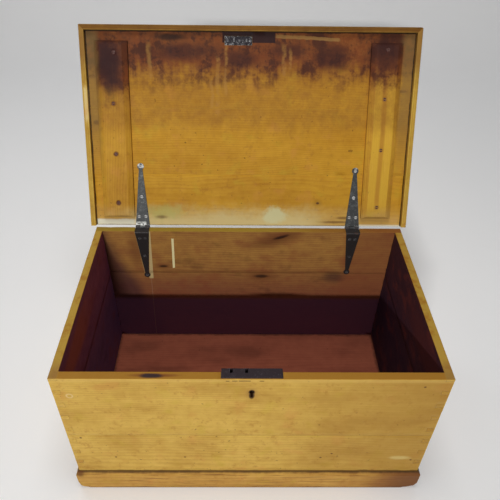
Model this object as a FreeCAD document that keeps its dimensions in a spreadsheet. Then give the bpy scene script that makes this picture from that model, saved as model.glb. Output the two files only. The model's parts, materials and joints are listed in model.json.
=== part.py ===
import FreeCAD, Part
import os
import Sketcher

# Pine blanket box with its lid open: dovetailed carcass, planted plinth, battened lid with a lip,
# two cranked iron strap hinges and an iron box lock.
#
# Frame: X to the right seen from the front, Y from the front to the back, Z up.
# Origin: middle of the carcass, on the surface that the box stands on.
# The lid and all that it carries are drawn shut, about the hinge axis, and turned open as placed.

V = FreeCAD.Vector
doc = FreeCAD.newDocument("blanket_box")
sheet = doc.addObject("Spreadsheet::Sheet", "Sizes")


class Size:
    """A length that knows its number and the spreadsheet expression it is worked out by."""

    def __init__(self, number, text=None):
        self.number = float(number)
        self.text = text or repr(self.number)

    def __add__(self, other):
        other = as_size(other)
        return Size(self.number + other.number, f"({self.text} + {other.text})")

    def __sub__(self, other):
        other = as_size(other)
        return Size(self.number - other.number, f"({self.text} - {other.text})")

    def __mul__(self, other):
        other = as_size(other)
        return Size(self.number * other.number, f"({self.text} * {other.text})")

    def __truediv__(self, other):
        other = as_size(other)
        return Size(self.number / other.number, f"({self.text} / {other.text})")

    def __neg__(self):
        return Size(-self.number, f"(0 - {self.text})")

    def __radd__(self, other):
        return as_size(other) + self

    def __rsub__(self, other):
        return as_size(other) - self

    def __rmul__(self, other):
        return as_size(other) * self


def as_size(value):
    return value if isinstance(value, Size) else Size(value)


def dimension(name, number):
    """Write a driving dimension, in millimetres or degrees, into the next row of the sheet."""
    dimension.row += 1
    sheet.set(f"A{dimension.row}", name.replace("_", " "))
    sheet.set(f"B{dimension.row}", repr(number))
    sheet.setAlias(f"B{dimension.row}", name)
    return Size(number, f"Sizes.{name}")


dimension.row = 0

# ---------------------------------------------------------------- driving dimensions

# Carcass
box_width = dimension("box_width", 915)
box_depth = dimension("box_depth", 550)
box_height = dimension("box_height", 480)
board = dimension("board_thickness", 20)
bottom = dimension("bottom_thickness", 20)
front_seam = dimension("front_seam_height", 250)
back_seam = dimension("back_seam_height", 312)
end_seam = dimension("end_seam_height", 300)
pin_inner = dimension("dovetail_pin_inner", 17)
pin_outer = dimension("dovetail_pin_outer", 11)
plinth_height = dimension("plinth_height", 76)
plinth_thick = dimension("plinth_thickness", 9)
plinth_ledge = dimension("plinth_ledge", 1.5)
plinth_splay = dimension("plinth_splay", 11)

# Lid
lid_thick = dimension("lid_thickness", 18)
lid_gap = dimension("lid_gap", 0.3)
lid_open = dimension("lid_open_angle", 114)
lid_seam_rear = dimension("lid_seam_rear", 160)
lid_seam_front = dimension("lid_seam_front", 349)
lip_clear = dimension("lip_clearance", 1.5)
lip_thick = dimension("lip_thickness", 14.5)
lip_drop = dimension("lip_drop", 13)
lip_round = dimension("lip_rounding", 4)
batten_thick = dimension("batten_thickness", 18)
batten_edge = dimension("batten_edge_thickness", 10)
batten_splay = dimension("batten_side_splay", 15)
batten_end_splay = dimension("batten_end_splay", 7)
batten_clear = dimension("batten_clearance", 6)
batten_left = dimension("batten_left_centre", 387.5)
batten_right = dimension("batten_right_centre", 379)
batten_left_width = dimension("batten_left_width", 91)
batten_right_width = dimension("batten_right_width", 87)

# Strap hinges
leaf = dimension("hinge_leaf_thickness", 3)
leaf_gap = dimension("hinge_leaf_gap", 0.3)
axis_behind = dimension("hinge_axis_behind", 5)
hinge_pin_radius = dimension("hinge_pin_radius", 2.5)
hinge_running = dimension("hinge_running_clearance", 0.05)
strap_width = dimension("strap_width", 42)
strap_neck = dimension("strap_neck_width", 9)
finial_radius = dimension("finial_radius", 9.5)

# Lock, measured from the middle of the front wall and down from its rim
lock_width = dimension("lock_width", 140)
lock_drop = dimension("lock_height", 78)
lock_plate = dimension("lock_plate_thickness", 1.5)
lock_cap_thick = dimension("lock_cap_thickness", 1)
lock_proud = dimension("lock_proud_of_wall", 10)
lock_let_in = dimension("lock_let_into_wall", 4)
selvedge_thick = dimension("selvedge_thickness", 2.5)
selvedge_inset = dimension("selvedge_inset", 2.5)
key_drop = dimension("keyhole_drop", 48.5)
key_radius = dimension("keyhole_radius", 5.5)
key_slot_width = dimension("keyhole_slot_width", 5.6)
key_slot_drop = dimension("keyhole_slot_drop", 69)
bolt_thick = dimension("bolt_thickness", 3.4)
bolt_travel = dimension("bolt_travel", 8)
link_plate_width = dimension("link_plate_width", 77)
link_plate_depth = dimension("link_plate_depth", 24)
link_plate_thick = dimension("link_plate_thickness", 2)
link_centre = dimension("link_plate_centre", -35)
staple_reach = dimension("staple_reach", 14)
staple_inset = dimension("staple_inset", 7.2)

# Fasteners
screw_head = dimension("screw_head_radius", 4.8)
screw_shank = dimension("screw_shank_radius", 2.4)
small_screw_head = dimension("small_screw_head_radius", 3.4)
small_screw_shank = dimension("small_screw_shank_radius", 1.7)
nail_head = dimension("nail_head_radius", 1.9)
nail_shank = dimension("nail_shank_radius", 1.2)

# Worked out from them
half_width = box_width / 2
half_depth = box_depth / 2
hinge_y = half_depth + axis_behind
hinge_z = box_height + lid_gap - leaf - leaf_gap / 2
knuckle_radius = hinge_pin_radius + leaf
lid_under = leaf + leaf_gap / 2                      # underside of the lid, from the hinge axis
lid_half_width = half_width + lip_clear
lid_front = -(axis_behind + box_depth + lip_clear)   # front edge of the lid's boards, from the axis
rim_y = -(half_depth - board)                        # inner face of the front wall
lock_back = rim_y + lock_proud                       # face of the lock case, inside the box
cap_y = rim_y - lock_let_in                          # face of the lock's cap, let into the wall
staple_y = lock_back - staple_inset                  # middle of the link plate's staples
doc.recompute()

nodes = []
SAME_PLACE = 1e-6                                    # two coordinates closer than this are one
TURN = {
    "x": FreeCAD.Rotation(V(0, 0, 1), V(1, 0, 0)),
    "-x": FreeCAD.Rotation(V(0, 0, 1), V(-1, 0, 0)),
    "y": FreeCAD.Rotation(V(0, 0, 1), V(0, 1, 0)),
    "-y": FreeCAD.Rotation(V(0, 0, 1), V(0, -1, 0)),
    "z": FreeCAD.Rotation(),
    "-z": FreeCAD.Rotation(V(1, 0, 0), 180),
}


# ---------------------------------------------------------------- building blocks

def bind(obj, prop, size):
    obj.setExpression(prop, as_size(size).text)


def place(obj, x, y, z, rotation=None):
    if rotation:
        obj.Placement = FreeCAD.Placement(V(), rotation)
    for letter, size in zip("xyz", (x, y, z)):
        bind(obj, f"Placement.Base.{letter}", size)
    return obj


def box(name, low, high):
    """A block between two corners."""
    block = doc.addObject("Part::Box", name)
    for prop, a, b in zip(("Length", "Width", "Height"), low, high):
        bind(block, prop, as_size(b) - a)
    return place(block, *low)


def rod(name, start, direction, radius, length):
    """A cylinder from a point, along an axis of the frame."""
    cylinder = doc.addObject("Part::Cylinder", name)
    bind(cylinder, "Radius", radius)
    bind(cylinder, "Height", length)
    return place(cylinder, *start, TURN[direction])


def group(name, parts):
    """Separate solids held as one object."""
    compound = doc.addObject("Part::Compound", name)
    compound.Links = parts
    return compound


def join(name, parts):
    fusion = doc.addObject("Part::MultiFuse", name)
    fusion.Shapes = parts
    fusion.Refine = True
    return fusion


def carve(name, base, tools):
    """Cut each tool from the base in turn."""
    for number, tool in enumerate(tools, 1):
        cut = doc.addObject("Part::Cut", f"{name}_cut{number}")
        cut.Base = base
        cut.Tool = tool
        cut.Refine = True
        base = cut
    return base


def node(label, obj):
    """Name a finished piece, which is drawn where it stands."""
    obj.Label = label
    nodes.append(obj)
    return obj


def lid_node(label, obj):
    """Name a finished piece of the lid, and turn it open about the hinge axis."""
    piece = group(f"{label}_placed", [obj])
    piece.Placement = FreeCAD.Placement(V(), FreeCAD.Rotation(V(-1, 0, 0), lid_open.number))
    bind(piece, "Placement.Base.y", hinge_y)
    bind(piece, "Placement.Base.z", hinge_z)
    bind(piece, "Placement.Rotation.Angle", lid_open)
    return node(label, piece)


def sketch(body, plane, name, offset):
    """A sketch on one of the body's own planes, moved along the plane's normal."""
    drawing = body.newObject("Sketcher::SketchObject", name)
    origin_plane = next(f for f in body.Origin.OriginFeatures if f.Role == plane)
    drawing.AttachmentSupport = [(origin_plane, "")]
    drawing.MapMode = "FlatFace"
    bind(drawing, "AttachmentOffset.Base.z", offset)
    return drawing


def pin_point(drawing, geometry, vertex, point):
    """Tie a sketch point to the origin by two bound distances."""
    for kind, size in zip(("DistanceX", "DistanceY"), point):
        size = as_size(size)
        number = drawing.addConstraint(Sketcher.Constraint(kind, -1, 1, geometry, vertex, size.number))
        drawing.setExpression(f"Constraints[{number}]", size.text)


def outline(body, plane, name, points, offset=0):
    """A closed straight-sided outline."""
    drawing = sketch(body, plane, name, offset)
    corners = [V(as_size(a).number, as_size(b).number, 0) for a, b in points]
    count = len(corners)
    for i in range(count):
        drawing.addGeometry(Part.LineSegment(corners[i], corners[(i + 1) % count]))
    for i in range(count):
        drawing.addConstraint(Sketcher.Constraint("Coincident", i, 2, (i + 1) % count, 1))
    for i in range(count):
        pin_point(drawing, i, 1, points[i])
    return drawing


def disc(body, plane, name, centre, radius, offset=0):
    """A circle outline."""
    drawing = sketch(body, plane, name, offset)
    middle = V(as_size(centre[0]).number, as_size(centre[1]).number, 0)
    drawing.addGeometry(Part.Circle(middle, V(0, 0, 1), radius.number))
    pin_point(drawing, 0, 3, centre)
    number = drawing.addConstraint(Sketcher.Constraint("Radius", 0, radius.number))
    drawing.setExpression(f"Constraints[{number}]", radius.text)
    return drawing


def pad(body, drawing, length, reverse=False):
    feature = body.newObject("PartDesign::Pad", f"{drawing.Name}_pad")
    feature.Profile = drawing
    feature.Reversed = reverse
    bind(feature, "Length", length)
    return feature


def pocket(body, drawing, length, reverse=False):
    """Cut an outline into the body, and stop if it cuts nothing."""
    doc.recompute()
    before = body.Shape.Volume
    feature = body.newObject("PartDesign::Pocket", f"{drawing.Name}_pocket")
    feature.Profile = drawing
    feature.Reversed = reverse
    bind(feature, "Length", length)
    doc.recompute()
    if body.Shape.Volume > before - SAME_PLACE:
        raise RuntimeError(f"{body.Name}: {drawing.Name} cuts nothing")
    return feature


def new_body(name):
    return doc.addObject("PartDesign::Body", name)


def fastener(name, profile, slot=None):
    """A screw or nail turned about Z, its head's top at the origin and its point downwards."""
    body = new_body(name)
    drawing = outline(body, "XZ_Plane", f"{name}_profile", profile)
    turned = body.newObject("PartDesign::Revolution", f"{name}_turned")
    turned.Profile = drawing
    turned.ReferenceAxis = (drawing, ["V_Axis"])
    turned.Angle = 360
    if slot:
        width, depth, reach = slot
        cut = outline(body, "XY_Plane", f"{name}_slot",
                      [(-reach, -width / 2), (reach, -width / 2), (reach, width / 2), (-reach, width / 2)])
        pocket(body, cut, depth)
    return body


def copies(name, master, spots):
    """Links to one fastener. Each spot is a point and the direction that the shank drives in."""
    links = []
    for number, (point, direction) in enumerate(spots, 1):
        link = doc.addObject("App::Link", f"{name}_{number}")
        link.LinkedObject = master
        opposite = direction[1:] if direction.startswith("-") else f"-{direction}"
        links.append(place(link, *point, TURN[opposite]))
    return group(f"{name}_group", links)


def soften(body, kind, prop, size, chosen):
    """Fillet or chamfer the chosen edges of a body."""
    doc.recompute()
    base = body.Tip
    edges = [f"Edge{i}" for i, edge in enumerate(base.Shape.Edges, 1) if chosen(edge)]
    feature = body.newObject(kind, f"{body.Name}_soft_edges")
    feature.Base = (base, edges)
    bind(feature, prop, size)
    return feature


def rectangle(x0, x1, y0, y1):
    return [(x0, y0), (x1, y0), (x1, y1), (x0, y1)]


def moulding(name, profile, thick, length, mitre_start, mitre_end, rounding=None):
    """A moulding along its own X, its back on the plane Y = 0, mitred at the ends asked for."""
    body = new_body(name)
    pad(body, outline(body, "YZ_Plane", f"{name}_profile", profile), length)
    if rounding:
        face = -thick.number
        soften(body, "PartDesign::Fillet", "Radius", rounding,
               lambda edge: all(abs(v.Y - face) < SAME_PLACE for v in edge.Vertexes)
               and abs(edge.Vertexes[0].X - edge.Vertexes[-1].X) > thick.number)
    if mitre_start:
        corner = outline(body, "XY_Plane", f"{name}_start_mitre", [(0, 0), (thick, 0), (0, -thick)])
        pocket(body, corner, box_height, reverse=True)
    if mitre_end:
        corner = outline(body, "XY_Plane", f"{name}_end_mitre",
                         [(length, 0), (length, -thick), (length - thick, 0)])
        pocket(body, corner, box_height, reverse=True)
    return body


LEFT_RUN = FreeCAD.Rotation(V(0, 0, 1), -90)     # a moulding on the left end runs back to front
RIGHT_RUN = FreeCAD.Rotation(V(0, 0, 1), 90)     # and one on the right end runs front to back


# ---------------------------------------------------------------- fasteners

def screw(name, head, shank, length):
    """A countersunk wood screw with a slotted head."""
    slot_width, slot_depth, slot_reach = 0.3 * head, 0.25 * head, 1.2 * head
    point = 4
    return fastener(name, [(0, 0), (head, 0), (shank, shank - head), (shank, point - length), (0, -length)],
                    (slot_width, slot_depth, slot_reach))


def nail(name, length):
    """A small-headed nail, which is punched under the surface."""
    head_depth, neck_depth, point = 1.2, 1.5, 3
    return fastener(name, [(0, 0), (nail_head, 0), (nail_head, -head_depth), (nail_shank, -neck_depth),
                           (nail_shank, point - length), (0, -length)])


punch = 1.5                                    # how far the nails are punched under the surface
batten_screw = screw("batten_screw", screw_head, screw_shank, dimension("batten_screw_length", 31))
hinge_screw = screw("hinge_screw", screw_head, screw_shank, dimension("hinge_screw_length", 17))
lock_screw = screw("lock_screw", small_screw_head, small_screw_shank, dimension("lock_screw_length", 26))
link_screw = screw("link_screw", small_screw_head, small_screw_shank, dimension("link_screw_length", 12))
plinth_nail = nail("plinth_nail", dimension("plinth_nail_length", 26))
bottom_nail = nail("bottom_nail", dimension("bottom_nail_length", 48))
lip_nail = nail("lip_nail", dimension("lip_nail_length", 36))

PLINTH_FRONT_NAILS = (-360, -210, -60, 60, 210, 360)
PLINTH_END_NAILS = (-210, -70, 70, 210)
BOTTOM_LONG_NAILS = (-400, -240, -80, 80, 240, 400)
BOTTOM_END_NAILS = (-225, -135, -50, 50, 135, 225)

plinth_nail_z = plinth_height / 2
plinth_spots = [((x, -(half_depth + plinth_thick - punch), plinth_nail_z), "y") for x in PLINTH_FRONT_NAILS]
for end, inward in ((-1, "x"), (1, "-x")):
    plinth_spots += [((end * (half_width + plinth_thick - punch), y, plinth_nail_z), inward)
                     for y in PLINTH_END_NAILS]
plinth_nails = copies("plinth_nail", plinth_nail, plinth_spots)

bottom_spots = [((x, side * (half_depth - board / 2), punch), "z")
                for side in (-1, 1) for x in BOTTOM_LONG_NAILS]
bottom_spots += [((end * (half_width - board / 2), y, punch), "z")
                 for end in (-1, 1) for y in BOTTOM_END_NAILS]
bottom_nails = copies("bottom_nail", bottom_nail, bottom_spots)

node("plinth_nails", plinth_nails)
node("bottom_nails", bottom_nails)


# ---------------------------------------------------------------- carcass

TAILS = 9
tail_pitch = (box_height - bottom) / TAILS


def corner_pins(name, x, y, rotation):
    """The pins of one corner from the bottom up, with their heights. The end ones are half pins."""
    pins = []
    for k in range(TAILS + 1):
        below = 0 if k == 0 else 0.5
        above = 0 if k == TAILS else 0.5
        pin = doc.addObject("Part::Wedge", f"{name}_pin_{k}")
        sizes = {"Xmin": 0, "X2min": 0, "Xmax": board, "X2max": board, "Ymin": 0, "Ymax": board,
                 "Zmin": -below * pin_inner, "Zmax": above * pin_inner,
                 "Z2min": -below * pin_outer, "Z2max": above * pin_outer}
        for prop, size in sizes.items():
            bind(pin, prop, size)
        place(pin, x, y, bottom + k * tail_pitch, rotation)
        pins.append(((bottom + k * tail_pitch).number, pin))
    return pins


quarter = FreeCAD.Rotation(V(0, 0, 1), 90)
inner_x = half_width - board
inner_y = half_depth - board
pins = {
    ("front", "left"): corner_pins("front_left", -inner_x, -half_depth, quarter),
    ("front", "right"): corner_pins("front_right", inner_x, -inner_y, quarter.inverted()),
    ("back", "left"): corner_pins("back_left", -inner_x, inner_y, quarter),
    ("back", "right"): corner_pins("back_right", inner_x, half_depth, quarter.inverted()),
}


def pins_between(corners, low, high):
    """The pins of the named corners whose middles lie between two heights."""
    return [pin for corner in corners for height, pin in pins[corner]
            if low.number <= height <= high.number]


def tail_board(label, face, low, high, extra=()):
    """A board of the front or back wall, cut for the pins at both ends."""
    y0, y1 = (-half_depth, -inner_y) if face == "front" else (inner_y, half_depth)
    blank = box(f"{label}_blank", (-half_width, y0, low), (half_width, y1, high))
    sockets = group(f"{label}_sockets", pins_between([(face, "left"), (face, "right")], low, high))
    node(label, carve(label, blank, [sockets, *extra]))


def pin_board(label, end, low, high, extra=()):
    """A board of an end wall, with its pins."""
    x0, x1 = (-half_width, -inner_x) if end == "left" else (inner_x, half_width)
    blank = box(f"{label}_blank", (x0, -inner_y, low), (x1, inner_y, high))
    solid = join(f"{label}_with_pins", [blank, *pins_between([("front", end), ("back", end)], low, high)])
    node(label, carve(label, solid, extra) if extra else solid)


fixings = [plinth_nails, bottom_nails]
tail_board("front_board_lower", "front", bottom, front_seam, fixings)
for end in ("left", "right"):
    pin_board(f"{end}_board_lower", end, bottom, end_seam, fixings)
    pin_board(f"{end}_board_upper", end, end_seam, box_height)

third = box_depth / 3
for name, row in (("front", 0), ("middle", 1), ("rear", 2)):
    label = f"bottom_board_{name}"
    plank = box(f"{label}_blank", (-half_width, row * third - half_depth, 0),
                (half_width, (row + 1) * third - half_depth, bottom))
    node(label, carve(label, plank, [bottom_nails]))

plinth_profile = [(0, 0), (-plinth_thick, 0), (-plinth_thick, plinth_height - plinth_splay),
                  (-plinth_ledge, plinth_height), (0, plinth_height)]
plinth_end_length = box_depth + plinth_thick
plinths = {
    "front": (box_width + 2 * plinth_thick, True, True, -half_width - plinth_thick, -half_depth, None),
    "left": (plinth_end_length, False, True, -half_width, half_depth, LEFT_RUN),
    "right": (plinth_end_length, True, False, half_width, -half_depth - plinth_thick, RIGHT_RUN),
}
for name, (length, mitre_start, mitre_end, x, y, run) in plinths.items():
    label = f"plinth_{name}"
    strip = moulding(f"{label}_moulding", plinth_profile, plinth_thick, length, mitre_start, mitre_end)
    node(label, carve(label, place(strip, x, y, 0, run), [plinth_nails]))


# ---------------------------------------------------------------- lock, in the front wall

def below_rim(drop):
    return box_height - drop


LOCK_SCREW_DROPS = (13, 68)
half_lock = lock_width / 2
lock_screw_x = half_lock - 8
lock_screws = copies("lock_screw", lock_screw,
                     [((x, lock_back, below_rim(drop)), "-y")
                      for x in (-lock_screw_x, lock_screw_x) for drop in LOCK_SCREW_DROPS])
node("lock_screws", lock_screws)

keyhole = join("keyhole", [
    rod("keyhole_round", (0, -half_depth - 1, below_rim(key_drop)), "y", key_radius, board),
    box("keyhole_slot", (-key_slot_width / 2, -half_depth - 1, below_rim(key_slot_drop)),
        (key_slot_width / 2, board - half_depth - 1, below_rim(key_drop))),
])

STAPLES = (-47, -12)                           # middles of the link plate's staples, from the lock's middle
staple_thick = 4
staple_width = 9
slot_play = 1.5                                # room each side of a staple in the selvedge

case = new_body("lock_case_tray")
pad(case, outline(case, "XZ_Plane", "case_block",
                  rectangle(-half_lock, half_lock, below_rim(lock_drop), box_height), -lock_back),
    lock_proud + lock_let_in)
pad(case, outline(case, "XY_Plane", "case_selvedge",
                  rectangle(-half_lock, half_lock, selvedge_inset - half_depth, cap_y), box_height),
    selvedge_thick, reverse=True)
pocket(case, outline(case, "XZ_Plane", "case_inside",
                     rectangle(lock_plate - half_lock, half_lock - lock_plate,
                               below_rim(lock_drop - lock_plate), below_rim(selvedge_thick)), -cap_y),
       lock_proud + lock_let_in - lock_plate)
for number, x in enumerate(STAPLES, 1):
    slot_x = staple_thick / 2 + slot_play
    slot_y = staple_width / 2 + 1
    pocket(case, outline(case, "XY_Plane", f"case_staple_slot_{number}",
                         rectangle(x - slot_x, x + slot_x, staple_y - slot_y, staple_y + slot_y), box_height),
           selvedge_thick)
node("lock_case", carve("lock_case", case, [lock_screws]))

cap_play = 0.1
cap_half = half_lock - lock_plate - cap_play
cap_blank = box("lock_cap_blank", (-cap_half, cap_y, below_rim(lock_drop - lock_plate - cap_play)),
                (cap_half, cap_y + lock_cap_thick, below_rim(selvedge_thick + cap_play)))
node("lock_cap", carve("lock_cap", cap_blank, [keyhole, lock_screws]))

works_y = lock_back - lock_plate               # inner face of the case's back plate
key_pin_radius, key_pin_length = 2, 15
ward_outer, ward_inner, ward_height = 10, 9, 4
ward_gap_half, ward_gap_top, ward_gap_foot = 4, 5, 11
key_axis = (0, works_y, below_rim(key_drop))
node("lock_key_pin", rod("key_pin", key_axis, "-y", key_pin_radius, key_pin_length))
node("lock_ward", carve("ward", rod("ward_disc", key_axis, "-y", ward_outer, ward_height), [
    rod("ward_inside", key_axis, "-y", ward_inner, ward_height),
    box("ward_gap", (-ward_gap_half, works_y - ward_height, below_rim(key_drop + ward_gap_foot)),
        (ward_gap_half, works_y, below_rim(key_drop + ward_gap_top))),
]))

GUIDES = (-45, 22)                             # middles of the studs that the bolt slides on
guide_radius = 3
guide_drop = 28.5
guide_play = 0.2
guides = [rod(f"bolt_guide_{number}", (x, works_y, below_rim(guide_drop)), "-y", guide_radius,
              works_y - cap_y - lock_cap_thick) for number, x in enumerate(GUIDES, 1)]
node("lock_bolt_guides", group("bolt_guides", guides))

# The bolt plate, seen from the front: X from the lock's middle, heights from the rim
finger_gap = 1                                 # from a staple to the finger that shoots through it
post_width = 6
bolt_left, bolt_right, bolt_top, bolt_foot = -56, 40, -19, -38
finger_top, finger_foot = -4.5, -10
talon_left, talon_right, talon_top = -2, 10, -32
bolt_outline = [(bolt_left, bolt_foot), (talon_left, bolt_foot), (talon_left, talon_top),
                (talon_right, talon_top), (talon_right, bolt_foot), (bolt_right, bolt_foot),
                (bolt_right, bolt_top)]
for x in reversed(STAPLES):
    tip = x + staple_thick / 2 + finger_gap
    post = tip + bolt_travel
    bolt_outline += [(post + post_width, bolt_top), (post + post_width, finger_top), (tip, finger_top),
                     (tip, finger_foot), (post, finger_foot), (post, bolt_top)]
bolt_outline.append((bolt_left, bolt_top))
bolt = place(new_body("lock_bolt_plate"), 0, staple_y + bolt_thick / 2, box_height)
pad(bolt, outline(bolt, "XZ_Plane", "bolt_outline", bolt_outline), bolt_thick)
guide_reach = guide_radius + guide_play
for number, x in enumerate(GUIDES, 1):
    pocket(bolt, outline(bolt, "XZ_Plane", f"bolt_slot_{number}",
                         rectangle(x - guide_reach, x + bolt_travel + guide_reach,
                                   -guide_drop - guide_reach, -guide_drop + guide_reach), bolt_thick),
           bolt_thick)
node("lock_bolt", bolt)

# A strip that stands on the bolt's tail and leans back up to the underside of the selvedge
spring_left, spring_right, spring_knee = bolt_right - 3, bolt_right - 1, -16
spring_tip_x, spring_tip_z = 13, -4.3
spring_outline = [(spring_left, bolt_top), (spring_right, bolt_top), (spring_right, spring_knee - 0.2),
                  (spring_tip_x + 0.4, spring_tip_z + 0.9), (spring_tip_x, spring_tip_z),
                  (spring_left, spring_knee)]
spring = place(new_body("back_spring_strip"), 0, staple_y + bolt_thick / 2, box_height)
pad(spring, outline(spring, "XZ_Plane", "spring_outline", spring_outline), bolt_thick)
node("lock_back_spring", spring)

lock_play = 0.2
lock_recess = box("lock_recess", (-half_lock - lock_play, cap_y - lock_play, below_rim(lock_drop + lock_play)),
                  (half_lock + lock_play, rim_y, box_height))
selvedge_recess = box("selvedge_recess",
                      (-half_lock - lock_play, selvedge_inset - half_depth - lock_play,
                       below_rim(selvedge_thick)),
                      (half_lock + lock_play, rim_y, box_height))
tail_board("front_board_upper", "front", front_seam, box_height,
           [lock_recess, selvedge_recess, keyhole, lock_screws])


# ---------------------------------------------------------------- strap hinges

HINGES = {
    "left": (-dimension("hinge_left_centre", 320), dimension("lid_strap_left_length", 182),
             dimension("box_strap_left_drop", 172)),
    "right": (dimension("hinge_right_centre", 312), dimension("lid_strap_right_length", 173),
              dimension("box_strap_right_drop", 156)),
}
doc.recompute()
leaf_root = knuckle_radius + 0.4               # where the flat of a leaf starts, from the axis
leaf_weld = 3.6                                # how far into the rolled knuckle the leaf is drawn
crank = axis_behind + board + leaf             # face of the cranked leaf inside the box, from the axis
sixth = strap_width / 6
knuckle_end = 0.2                              # half the gap between two knuckles
half_strap = strap_width / 2
half_neck = strap_neck / 2
lid_screw_drops = (32, 92)                     # the pair at the root and the one halfway along
box_screw_drops = (22, 92)
lid_pair_reach, box_pair_reach = 10, 8         # each screw of the pair from the strap's middle
bend_radius = leaf - 0.4


def strap_knuckle(body, name, x0, x1, bore):
    """A knuckle rolled about the axis and bored for the pin."""
    pad(body, disc(body, "YZ_Plane", f"{name}_roll", (0, 0), knuckle_radius, x0), x1 - x0)
    pocket(body, disc(body, "YZ_Plane", f"{name}_bore", (0, 0), bore, x0), x1 - x0, reverse=True)


def lid_strap(side, x, length):
    """The tapered leaf on the lid's underside, with the middle knuckle."""
    body = new_body(f"lid_strap_{side}_leaf")
    low = leaf_gap / 2
    taper = [(-half_strap, -leaf_root), (-half_neck, -length), (half_neck, -length), (half_strap, -leaf_root)]
    x0, x1 = -sixth + knuckle_end, sixth - knuckle_end
    pad(body, outline(body, "XY_Plane", f"lid_{side}_taper", taper, low), leaf)
    pad(body, disc(body, "XY_Plane", f"lid_{side}_finial", (0, -length), finial_radius, low), leaf)
    pad(body, outline(body, "XY_Plane", f"lid_{side}_tongue",
                      rectangle(x0, x1, -leaf_root, -leaf_weld), low), leaf)
    strap_knuckle(body, f"lid_{side}_knuckle", x0, x1, hinge_pin_radius + hinge_running)
    return place(body, x, 0, 0)


def box_strap(side, x, drop):
    """The leaf over the back rim and down the wall's inner face, with the two outer knuckles."""
    body = new_body(f"box_strap_{side}_leaf")
    high = -leaf_gap / 2
    over = rectangle(-half_strap, half_strap, -crank, -leaf_root)
    down = [(-half_strap, high), (-half_neck, high - drop), (half_neck, high - drop), (half_strap, high)]
    pad(body, outline(body, "XY_Plane", f"box_{side}_over", over, high), leaf, reverse=True)
    pad(body, outline(body, "XZ_Plane", f"box_{side}_down", down, crank - leaf), leaf)
    bend = -crank.number
    soften(body, "PartDesign::Fillet", "Radius", bend_radius,
           lambda edge: all(abs(v.Y - bend) < SAME_PLACE and abs(v.Z - high.number) < SAME_PLACE
                            for v in edge.Vertexes))
    pad(body, disc(body, "XZ_Plane", f"box_{side}_finial", (0, high - drop), finial_radius, crank - leaf), leaf)
    for number, (x0, x1) in enumerate(((-half_strap, -sixth), (sixth, half_strap)), 1):
        tongue = rectangle(x0 + knuckle_end, x1 - knuckle_end, -leaf_root, -leaf_weld)
        pad(body, outline(body, "XY_Plane", f"box_{side}_tongue_{number}", tongue, high), leaf, reverse=True)
        strap_knuckle(body, f"box_{side}_knuckle_{number}", x0 + knuckle_end, x1 - knuckle_end,
                      hinge_pin_radius)
    return place(body, x, hinge_y, hinge_z)


lid_screw_spots = []
box_screw_spots = []
for side, (x, lid_length, box_drop) in HINGES.items():
    pair, single = lid_screw_drops
    for dx, reach in ((-lid_pair_reach, pair), (lid_pair_reach, pair), (0, single), (0, lid_length)):
        lid_screw_spots.append(((x + dx, -as_size(reach), leaf_gap / 2), "z"))
    pair, single = box_screw_drops
    for dx, drop in ((-box_pair_reach, pair), (box_pair_reach, pair), (0, single), (0, box_drop)):
        box_screw_spots.append(((x + dx, hinge_y - crank, hinge_z - leaf_gap / 2 - drop), "y"))
lid_strap_screws = copies("lid_strap_screw", hinge_screw, lid_screw_spots)
box_strap_screws = copies("box_strap_screw", hinge_screw, box_screw_spots)
lid_node("lid_strap_screws", lid_strap_screws)
node("box_strap_screws", box_strap_screws)

notch_play = 0.4
notches = []
for side, (x, lid_length, box_drop) in HINGES.items():
    lid_node(f"lid_strap_{side}",
             carve(f"lid_strap_{side}", lid_strap(side, x, lid_length), [lid_strap_screws]))
    node(f"box_strap_{side}",
         carve(f"box_strap_{side}", box_strap(side, x, box_drop), [box_strap_screws]))
    node(f"hinge_pin_{side}", rod(f"hinge_pin_{side}", (x - half_strap - 0.5, hinge_y, hinge_z), "x",
                                  hinge_pin_radius, strap_width + 1))
    notches.append(box(f"hinge_notch_{side}",
                       (x - half_strap - notch_play, inner_y - 1, hinge_z - leaf_gap / 2 - leaf),
                       (x + half_strap + notch_play, half_depth + 1, box_height + 1)))
tail_board("back_board_upper", "back", back_seam, box_height,
           [group("hinge_notches", notches), box_strap_screws])
tail_board("back_board_lower", "back", bottom, back_seam, [bottom_nails, box_strap_screws])


# ---------------------------------------------------------------- lid

lid_top = lid_under + lid_thick
batten_rear = axis_behind + board + batten_clear
batten_length = box_depth - 2 * board - 2 * batten_clear
BATTENS = {              # centre, width, and each screw's place from the centre and from the hinge axis
    "left": (-batten_left, batten_left_width, ((1.5, 76), (1.5, 219), (1.5, 361), (8.5, 498))),
    "right": (batten_right, batten_right_width, ((0, 67), (0, 235), (0, 378), (0, 511))),
}
batten_screws = copies("batten_screw", batten_screw,
                       [((x + aside, -reach, lid_under - batten_thick), "z")
                        for x, width, spots in BATTENS.values() for aside, reach in spots])
lid_node("lid_batten_screws", batten_screws)

LIP_FRONT_NAILS = (-425, -255, -85, 85, 255, 425)
LIP_END_NAILS = (58, 218, 398, 518)            # from the hinge axis
lip_nail_z = lid_under + lid_thick / 2
lip_spots = [((x, lid_front - lip_thick + punch, lip_nail_z), "y") for x in LIP_FRONT_NAILS]
for end, inward in ((-1, "x"), (1, "-x")):
    lip_spots += [((end * (lid_half_width + lip_thick - punch), -reach, lip_nail_z), inward)
                  for reach in LIP_END_NAILS]
lip_nails = copies("lip_nail", lip_nail, lip_spots)
lid_node("lid_lip_nails", lip_nails)

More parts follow.
